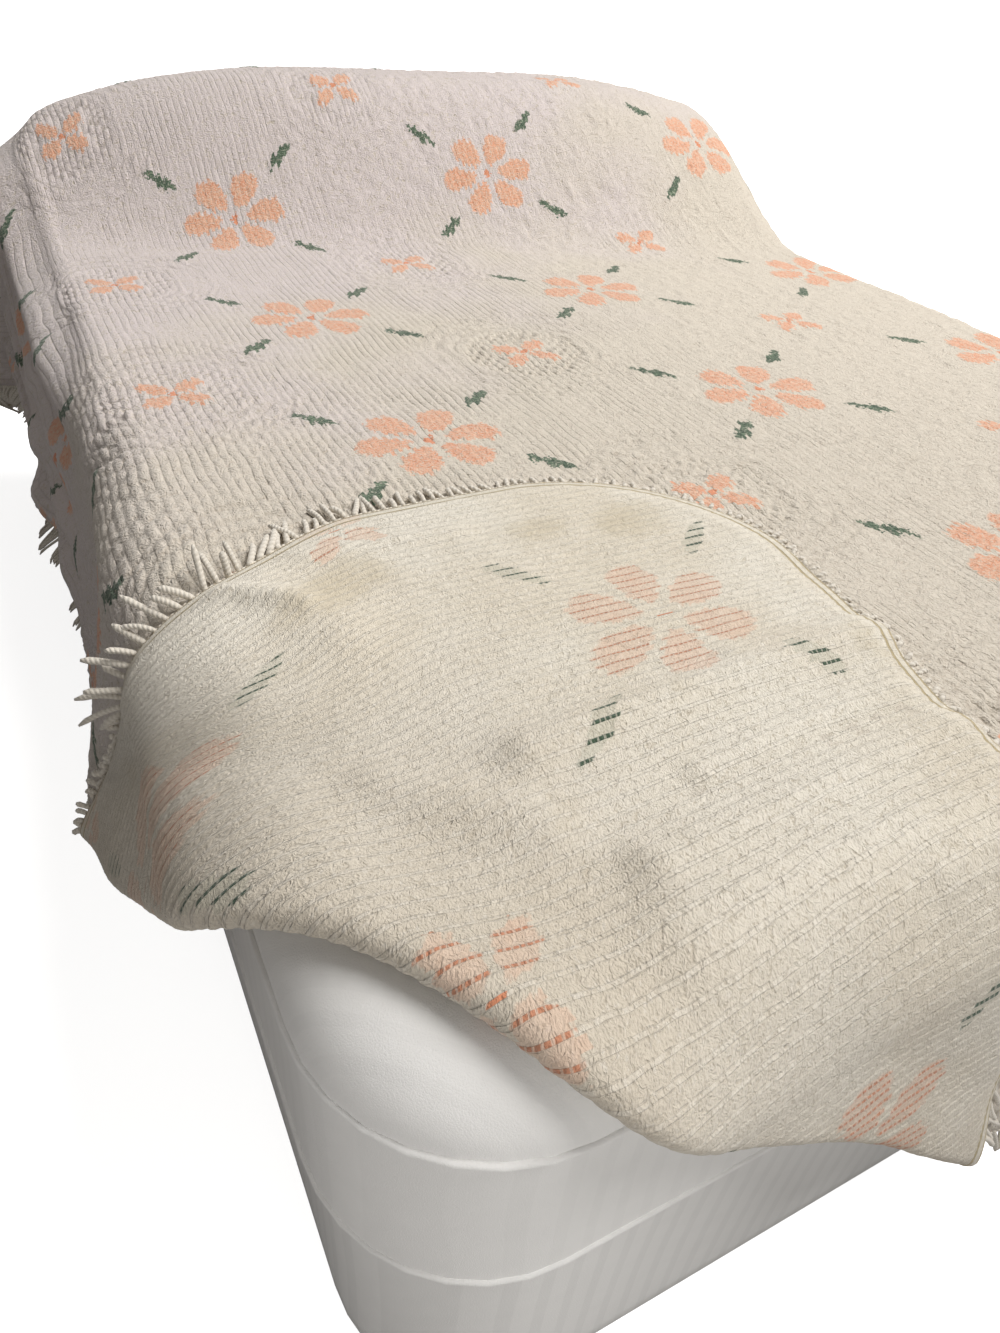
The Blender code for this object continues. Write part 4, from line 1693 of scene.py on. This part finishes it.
    def build_hem(self) -> bpy.types.Object:
        """The rolled edge: a small tube that follows the cut edge all round.

        Returns:
            The piece.
        """
        cloth = self.cloth
        round_points, head_points = self.hem_points
        lengths = np.linspace(0.004, cloth.hem_total - 0.004, round_points)
        head_x = np.linspace(cloth.side_hem, -cloth.side_hem, head_points)[1:-1]
        head = np.stack([head_x, np.full_like(head_x, cloth.head_hem)], axis=-1)
        x, y = np.concatenate([cloth.hem_point(lengths)[0], head]).T
        middle, normal, _ = cloth.frame_at(x, y)
        onward = np.roll(middle, -1, axis=0)
        side_way = np.cross(unit(onward - np.roll(middle, 1, axis=0)), normal)
        run = np.linalg.norm(onward - middle, axis=1)
        along = np.concatenate([[0], np.cumsum(run)[:-1]])
        turn = circle(6)
        points = rings_round(middle, normal, side_way, self.hem_radius, turn)
        mesh = quad_mesh("bedspread_hem", points, hoop_quads(len(x), len(turn)))
        set_flat_map(mesh, turn_map(turn, along[:, None]))
        return add_piece("bedspread_hem", mesh, [self.looks.hem])


@dataclass
class Fringe:
    """The twisted fringe along three sides, in the runs that the solids have."""

    cloth: Cloth
    look: bpy.types.Material
    pitch: float = 0.0105
    length: float = 0.044
    radius: float = 0.0025
    # Shares of the radius at the rings, from root to tip.
    widths: tuple = (0.8, 1.0, 1.0, 1.0, 1.0, 1.05, 0.45)
    sides: int = 6
    clump: int = 5
    root_in: float = 0.002
    # Bare hem before a fold of the cloth, past it on the turned corner, and at a corner.
    fold_gap: float = 0.045
    flap_gap: float = 0.020
    corner_gap: float = 0.003
    # Least and most: how hard a clump draws its strands together, and the
    # shares of the length that a strand has everywhere, lying on the bed, more
    # of it near the left edge, and hanging over that edge.
    gather: tuple = (0.3, 1.2)
    shares: tuple = (0.80, 1.0)
    lying: tuple = (0.16, 0.34)
    lying_left: tuple = (0.20, 0.75)
    hanging: tuple = (0.65, 1.25)
    # How far a strand, and a whole clump, may stray aside for each 1 outward.
    stray: float = 0.12
    clump_stray: float = 0.35
    # How far strands turn along the foot and along the left edge, where they
    # hang over it from the turned corner.
    droop: tuple = (1.5, 0.5)
    # Greatest curl to a side, and unevenness in height, in metres.
    curl: float = 0.004
    uneven: float = 0.0012

    def runs(self) -> dict[str, tuple[float, float]]:
        """Start and end of each run, as lengths round the hem.

        Returns:
            The two lengths, by the name of the run's solid.
        """
        cloth = self.cloth
        side, arc, _ = cloth.hem_lengths
        total = cloth.hem_total
        left_fold = cloth.head_hem + cloth.fold_sum - cloth.side_hem
        foot_fold = total / 2 - (cloth.fold_sum - cloth.foot_hem)
        right = total - side - arc
        head = cloth.head_corner + self.corner_gap
        return {
            "fringe_left": (head, left_fold - self.fold_gap),
            "fringe_flap": (left_fold + self.flap_gap, foot_fold - self.fold_gap),
            "fringe_foot": (foot_fold + self.fold_gap, right - self.corner_gap),
            "fringe_right": (right + self.corner_gap, total - head),
        }

    def build_run(self, node: str, start: float, end: float, seed: int) -> bpy.types.Object:
        """One run of strands.

        A strand's middle line starts on the hem and follows the cloth's own
        map past it, turned towards the middle of its clump, with a slow curl.
        Where the turned corner hangs over the left edge, it runs straight on
        outward instead. Its rings are circles round that line, and the last is
        drawn in.

        Args:
            node: The solid that the run stands for.
            start: Where it starts, as a length round the hem.
            end: Where it ends.
            seed: Start of the random numbers.

        Returns:
            The piece.
        """
        cloth = self.cloth
        random = np.random.default_rng(seed)
        count = round((end - start) / self.pitch)
        pitch = (end - start) / count

        def each(low: float, high: float) -> Array:
            """A random number for each strand."""
            return random.uniform(low, high, count)

        def each_clump(low: float, high: float) -> Array:
            """A random number for each strand, the same through a clump."""
            drawn = random.uniform(low, high, count // self.clump + 1)
            return np.repeat(drawn, self.clump)[:count]

        root, out = cloth.hem_point(start + pitch * (np.arange(count) + 0.5))
        half_x, half_y = cloth.bed.half
        # Where the strand lies on the bed, once its corner is turned over.
        over_x, over_y = (-cloth.fold_sum - root[:, ::-1]).T
        turned = root.sum(axis=1) < -cloth.fold_sum
        on_left = turned & (over_x < 0.03 - half_x)
        on_foot = turned & (over_y < 0.03 - half_y)
        on_top = turned & ~on_left & ~on_foot
        near_left = ramp(over_x, -0.36, -0.56)

        in_clump = (np.arange(count) % self.clump) - (self.clump - 1) / 2
        pull = -in_clump * pitch / self.length * each(*self.gather)
        pull = pull + each_clump(-self.clump_stray, self.clump_stray) * turned
        pull = pull + each(-self.stray, self.stray) * (1 + turned)
        droop = np.stack([self.droop[0] * on_foot, self.droop[1] * on_left], axis=-1)
        heading = unit(out + droop + np.stack([-out[:, 1], out[:, 0]], axis=-1) * pull[:, None])
        reach = self.length * each(*self.shares)
        short = each(*self.lying) + near_left * each(*self.lying_left)
        deep = ramp(-over_x - half_x, 0.11, 0.17)
        left_share = each(*self.hanging) * (1 - 0.6 * deep)
        reach = reach * np.where(on_top, short, np.where(on_left, left_share, 1.0))

        share = np.linspace(0, 1, len(self.widths))
        curl = np.sin(share * 2.4) * each(-self.curl, self.curl)[:, None]
        run = reach[:, None] * share
        cross = np.stack([-heading[:, 1], heading[:, 0]], axis=-1)
        flat = root[:, None] + heading[:, None] * (run - self.root_in)[..., None]
        flat = flat + cross[:, None] * curl[..., None]
        point, normal, _ = cloth.frame_at(flat[..., 0], flat[..., 1])
        normal = normal * np.where(turned, -1.0, 1.0)[:, None, None]
        high = 0.0024 + 0.0034 * near_left * each(0, 1)
        lift = high[:, None] * smooth(0.3 + share * 1.6) * on_top[:, None]
        proud = 0.45 + 0.6 * each_clump(0.1, 1.0)[:, None]
        lift = lift + each(-self.uneven, self.uneven)[:, None] * share
        first = each(0.1, 0.9)[:, None] * unit(point[:, 1] - point[:, 0])
        first = unit(first + proud * normal[:, 0])
        straight = point[:, :1] + first[:, None] * run[..., None]
        middle = np.where(on_left[:, None, None], straight, point) + normal * lift[..., None]
        middle[..., 2] -= (on_left * each(-0.004, 0.022))[:, None] * share**2

        way = unit(np.gradient(middle, axis=1))
        side_way = unit(np.cross(way, normal))
        turn = circle(self.sides)
        swell = each(0.85, 1.1) * np.where(turned, 1.05 + 0.2 * near_left, 1.0)
        swell = swell[:, None] * self.radius * np.array(self.widths)
        points = rings_round(middle, side_way, np.cross(side_way, way), swell, turn)
        mesh = quad_mesh(node, points, tube_quads(count, len(share), self.sides))
        along = run[:, :, None] + random.random(count)[:, None, None]
        set_flat_map(mesh, turn_map(turn, along))
        return add_piece(node + "_strands", mesh, [self.look], (node,))

    def build(self) -> list[bpy.types.Object]:
        """Every run."""
        runs = self.runs().items()
        return [self.build_run(node, *span, seed) for seed, (node, span) in enumerate(runs)]


@dataclass
class Bedding:
    """The mattress, its base and the pillows under the cloth."""

    bed: Bed
    cloth: Cloth
    looks: Finishes
    # Points of a corner's quarter circle, and of a straight run between two.
    corner_points: int = 9
    run_points: int = 24
    piping_radius: float = 0.0035
    lower_roll: float = 0.02
    gap: float = 0.0005
    # The pillows' ends across the bed, their back, and their front as in the mound.
    pillow_ends: tuple = (("pillow_left", -0.640, -0.012), ("pillow_right", 0.012, 0.640))
    pillow_back: float = 0.925
    pillow_front: tuple = (0.535, -0.24)
    # How far a pillow's sides draw in across and along, how far it stays under
    # the cloth, the depth of its dents, and its grid's columns and rows.
    pillow_pinch: tuple = (0.05, 0.04)
    pillow_clear: float = 0.012
    pillow_dent: float = 0.002
    pillow_grid: tuple = (41, 31)

    def outline(self, half: tuple[float, float], inward: Array) -> Array:
        """Rounded rectangles, each drawn in by its own share of the corner.

        Four quarter circles round the corner centres, with even points on the
        straight runs between them.

        Args:
            half: Half the plan.
            inward: How far each ring is drawn in.

        Returns:
            Plan points, as rings, points and two numbers.
        """
        corner = self.bed.corner
        quarter = np.linspace(0, math.pi / 2, self.corner_points)
        parts = []
        for turn, (sx, sy) in enumerate(((1, 1), (-1, 1), (-1, -1), (1, -1))):
            angle = quarter + turn * math.pi / 2
            way = np.stack([np.cos(angle), np.sin(angle)], axis=-1)
            centre = np.array([sx * (half[0] - corner), sy * (half[1] - corner)])
            parts.append(centre + way * (corner - inward)[:, None, None])
        share = np.linspace(0, 1, self.run_points)[1:-1][None, :, None]
        rows = []
        for part, onward in zip(parts, parts[1:] + parts[:1]):
            gap = onward[:, :1] - part[:, -1:]
            rows += [part, part[:, -1:] + gap * share]
        return np.concatenate(rows, axis=1) + np.array(self.bed.middle)

    def slab(
        self,
        node: str,
        half: tuple[float, float],
        profile: Array,
        puff: float,
        look: bpy.types.Material,
    ) -> bpy.types.Object:
        """A block of a profile carried round a rounded rectangle, with puckers along it.

        Args:
            node: The solid that it stands for.
            half: Half the plan.
            profile: Rows of how far in and how high, from the bottom up.
            puff: Depth of the puckers between the edges, in metres.
            look: The material.

        Returns:
            The piece.
        """
        plan = self.outline(half, profile[:, 0])
        rings, count = plan.shape[:2]
        height = profile[:, 1]
        share = (height - height[0]) / (height[-1] - height[0])
        step = np.linalg.norm(np.roll(plan, -1, axis=1) - plan, axis=-1)
        along = np.cumsum(step[rings // 2])
        pucker = puff * np.sin(math.pi * share)[:, None] ** 2
        pucker = pucker * (0.5 + 0.5 * np.sin(along * 38.0))
        plan = plan - unit(plan - np.array(self.bed.middle)) * pucker[..., None]
        tall = np.broadcast_to(height[:, None, None], (rings, count, 1))
        points = np.concatenate([plan, tall], axis=-1).reshape(-1, 3)
        index = np.arange(len(points))
        mesh = bpy.data.meshes.new(node)
        caps = [index[count - 1 :: -1].tolist(), index[-count:].tolist()]
        mesh.from_pydata(points.tolist(), [], [*band_quads(rings, count).tolist(), *caps])
        mesh.shade_smooth()
        mesh.set_sharp_from_angle(angle=math.radians(35))
        return add_piece(node + "_cover", mesh, [look], (node,))

    def piping(
        self,
        name: str,
        half: tuple[float, float],
        inward: float,
        height: float,
        look: bpy.types.Material,
    ) -> None:
        """A piped seam: a thin tube round the block.

        Args:
            name: Name of the piece.
            half: Half the block's plan.
            inward: How far in from it the seam runs.
            height: Height of the seam.
            look: The material.
        """
        ring = self.outline(half, np.array([inward]))[0]
        middle = np.append(ring, np.full((len(ring), 1), height), axis=1)
        up = np.broadcast_to([0.0, 0.0, 1.0], middle.shape)
        way = unit(np.roll(middle, -1, axis=0) - np.roll(middle, 1, axis=0))
        turn = circle(8)
        points = rings_round(middle, np.cross(way, up), up, self.piping_radius, turn)
        mesh = quad_mesh(name, points, hoop_quads(len(ring), len(turn)))
        add_piece(name, mesh, [look])

    def build_blocks(self) -> list[bpy.types.Object]:
        """The base and the mattress with their piped edges.

        Returns:
            The base and the mattress.
        """
        bed = self.bed
        base_look, base_slot = self.looks.cover, "base_cover"
        base_half = (bed.half[0] - bed.base_inset, bed.half[1] - bed.base_inset)
        high = bed.base_height - self.gap
        rows = [(0.004, 0.0), (0.0, 0.006), *[(0.0, h) for h in np.linspace(0.03, high - 0.03, 9)]]
        rows += [(0.0, high - 0.008), (0.003, high - 0.002), (0.008, high)]
        base = self.slab("bed_base", base_half, np.array(rows), 0.0015, base_look)
        self.piping("bed_base_piping", base_half, 0.004, high - 0.005, base_look)
        look, slot = self.looks.ticking, "ticking"
        bottom, top, low_roll = bed.base_height, bed.top, self.lower_roll
        turns = [(1 - math.sin(a), 1 - math.cos(a)) for a in np.linspace(0, math.pi / 2, 9)]
        rows = [(low_roll * s, bottom + low_roll * c) for s, c in turns[::2]]
        rows += [(0.0, h) for h in np.linspace(bottom + 0.03, top - bed.roll - 0.01, 9)]
        rows += [(bed.roll * c, top - bed.roll * s) for s, c in turns]
        mattress = self.slab("mattress", bed.half, np.array(rows), 0.003, look)
        for name, height in (("low", bottom + 0.024), ("high", top - bed.roll)):
            self.piping(f"mattress_piping_{name}", bed.half, 0.001, height, look)
        return [base, mattress]

    def build_pillow(self, node: str, left: float, right: float) -> bpy.types.Object:
        """A pillow under the cloth: flat below, crowned above, its sides drawn in.

        Two grids that meet at the rim: the lower is level, and the upper rises
        by the root of the product of one less each share's fourth power.

        Args:
            node: The solid that it stands for.
            left: Its left end.
            right: Its right end.

        Returns:
            The piece.
        """
        quarter = math.pi / 2
        lines = [np.sin(np.linspace(-quarter, quarter, count)) for count in self.pillow_grid]
        u, v = np.meshgrid(*lines)
        wide, deep = self.pillow_pinch
        pinch = 1 - wide * (1 - u**2) * np.abs(v) - deep * (1 - v**2) * np.abs(u)
        x = (left + right) / 2 + u * pinch * (right - left) / 2
        front = self.pillow_front[0] + self.pillow_front[1] * x
        y = (front + self.pillow_back) / 2 + v * pinch * (self.pillow_back - front) / 2
        crown = np.sqrt((1 - u**4) * (1 - v**4))
        room = np.maximum(self.cloth.mound(x, y) - self.pillow_clear, 0.003)
        dents = self.pillow_dent * value_noise(x, y, 0.05, 31) * crown
        shift = self.bed.middle
        floor = np.full_like(x, self.bed.top + 0.001)
        high = floor + 0.002 + (room - 0.002) * crown - dents
        faces = [np.stack([x + shift[0], y + shift[1], z], axis=-1) for z in (high, floor)]
        mesh = quad_mesh(node, np.stack(faces), shell_quads(*u.shape))
        piece = add_piece(node + "_filled", mesh, [self.looks.linen], (node,))
        return piece


@dataclass
class Studio:
    """Floor, lights and camera."""

    camera_at: tuple = (-0.7464, -1.1251, 1.0198)
    heading: float = math.radians(29.366)
    tilt: float = math.radians(38.483)
    roll: float = math.radians(4.559)
    lens: float = 24.93
    sensor: float = 36.0
    light_tint: tuple = (1.0, 0.985, 0.965)
    sky_tint: tuple = (1.0, 0.95, 0.90)
    sky_strength: float = 0.11
    floor_glow: float = 0.76
    # The floor's radius, where its far rim begins to rise and how high it ends.
    floor_radius: float = 40.0
    floor_bend: float = 22.0
    floor_rise: float = 10.0
    # Its two tones as the camera sees them, and the one that throws light back.
    floor_tones: tuple = ((0.92, 0.92, 0.92), (0.95, 0.95, 0.95))
    floor_dark: tuple = (0.16, 0.155, 0.15)
    # Nearest and farthest that the camera sees.
    clip: tuple = (0.02, 200.0)
    # Suns: name, the way they shine, power and spread in degrees.
    suns: tuple = (
        ("key", (-0.58, 0.22, -1.0), 2.5, 30.0),
        ("back fill", (0.35, -0.80, -0.45), 0.5, 60.0),
    )
    # Softboxes: name, place, the way they face, side and power in watts.
    boxes: tuple = (
        ("softbox", (1.45, 0.0, 2.45), (-1.40, 0.1, -1.9), 1.1, 34.0),
        ("front fill", (-0.95, -1.95, 0.60), (0.50, 0.86, -0.16), 0.6, 5.5),
    )

    def build_floor(self) -> None:
        """A pale floor: rings of a wide disc that rises softly at its far rim.

        The camera sees it pale, and it throws little light back on the piece.
        """
        radius = np.concatenate([[0.0], np.geomspace(0.5, self.floor_radius, 40)])[:, None]
        turn = circle(64)
        height = self.floor_rise * smooth((radius - self.floor_bend) / self.floor_bend)
        points = np.broadcast_arrays(radius * np.cos(turn), radius * np.sin(turn), height)
        quads = band_quads(len(radius), len(turn))[:, ::-1]
        mesh = quad_mesh("floor", np.stack(points, axis=-1), quads)
        look = Look("floor paint", 0.9, 0.0)
        seen = look.seen()
        paint = look.mix(look.noise(look.place(), 3.0), *self.floor_tones)
        paint = look.mix(seen, self.floor_dark, paint)
        glow = look.mix(seen, (0.0, 0.0, 0.0), (1.0, 1.0, 1.0))
        look.fill(look.shader, {"Base Color": paint, "Emission Color": glow})
        look.fill(look.shader, {"Emission Strength": self.floor_glow, "Specular IOR Level": 0.5})
        mesh.materials.append(look.material)
        floor = bpy.data.objects.new("floor", mesh)
        bpy.context.scene.collection.objects.link(floor)

    def add_light(
        self, name: str, kind: str, place: Vector | tuple, way: tuple, power: float
    ) -> bpy.types.Light:
        """A light that shines along a way.

        Args:
            name: Its name.
            kind: SUN or AREA, which the camera doesn't see.
            place: Where it stands.
            way: The way it shines.
            power: Its power.

        Returns:
            Its data, for its size.
        """
        data = bpy.data.lights.new(name, kind)
        data.energy, data.color = power, self.light_tint
        lamp = bpy.data.objects.new(name, data)
        lamp.rotation_mode = "QUATERNION"
        lamp.rotation_quaternion = Vector(way).to_track_quat("-Z", "Y")
        lamp.location = place
        lamp.visible_camera = kind != "AREA"
        bpy.context.scene.collection.objects.link(lamp)
        return data

    def build_lights(self) -> None:
        """A key from above and the right, a weak one from behind, softboxes, and an even sky."""
        for name, way, power, spread in self.suns:
            sun = self.add_light(name, "SUN", -Vector(way) * 4, way, power)
            sun.angle = math.radians(spread)
        for name, place, way, side, power in self.boxes:
            box = self.add_light(name, "AREA", place, way, power)
            box.shape, box.size = "SQUARE", side
        scene = bpy.context.scene
        scene.world = bpy.data.worlds.new("sky")
        scene.world.use_nodes = True
        sky = Graph(scene.world.node_tree)
        strength = sky.seen() + self.sky_strength
        background = sky.tree.nodes["Background"]
        sky.fill(background, {"Color": self.sky_tint, "Strength": strength})
        scene.view_settings.view_transform = "Standard"

    def build_camera(self, bed: Bed) -> None:
        """The camera, near the foot and looking up the bed.

        Args:
            bed: The bed, from whose middle its place is measured.
        """
        data = bpy.data.cameras.new("camera")
        data.lens, data.sensor_width = self.lens, self.sensor
        data.clip_start, data.clip_end = self.clip
        camera = bpy.data.objects.new("camera", data)
        level = math.cos(self.tilt)
        look = Vector(
            (math.sin(self.heading) * level, math.cos(self.heading) * level, -math.sin(self.tilt))
        )
        right = look.cross(Vector((0, 0, 1))).normalized()
        up = right.cross(look)
        cos, sin = math.cos(self.roll), math.sin(self.roll)
        turn = Matrix((right * cos + up * sin, up * cos - right * sin, -look)).transposed()
        place = Vector(self.camera_at) + Vector((*bed.middle, 0.0))
        camera.matrix_world = Matrix.Translation(place) @ turn.to_4x4()
        bpy.context.scene.collection.objects.link(camera)
        bpy.context.scene.camera = camera


def main() -> None:
    logging.basicConfig(level=logging.INFO, format="%(name)s %(message)s")
    bed, motifs, wrong = Bed(), Motifs(), WrongSide()
    cloth, tufting = Cloth(bed), Tufting(motifs)
    studio = Studio()
    studio.build_camera(bed)
    studio.build_floor()
    studio.build_lights()
    looks = Finishes(motifs, tufting, wrong)
    spread = Bedspread(cloth, tufting, wrong, looks)
    sheet = spread.build_sheet()
    parts = [*spread.build_pile(), spread.build_wrong_side(), spread.build_hem()]
    parts += Fringe(cloth, looks.fringe).build()
    bedding = Bedding(bed, cloth, looks)
    _, mattress = bedding.build_blocks()
    pillows = [bedding.build_pillow(*ends) for ends in bedding.pillow_ends]
    ends = cloth.flat_place(np.zeros(2), np.array([-cloth.foot_hem, cloth.head_hem]))[1]
    float(ends[1] - ends[0])


if __name__ == "__main__":
    main()
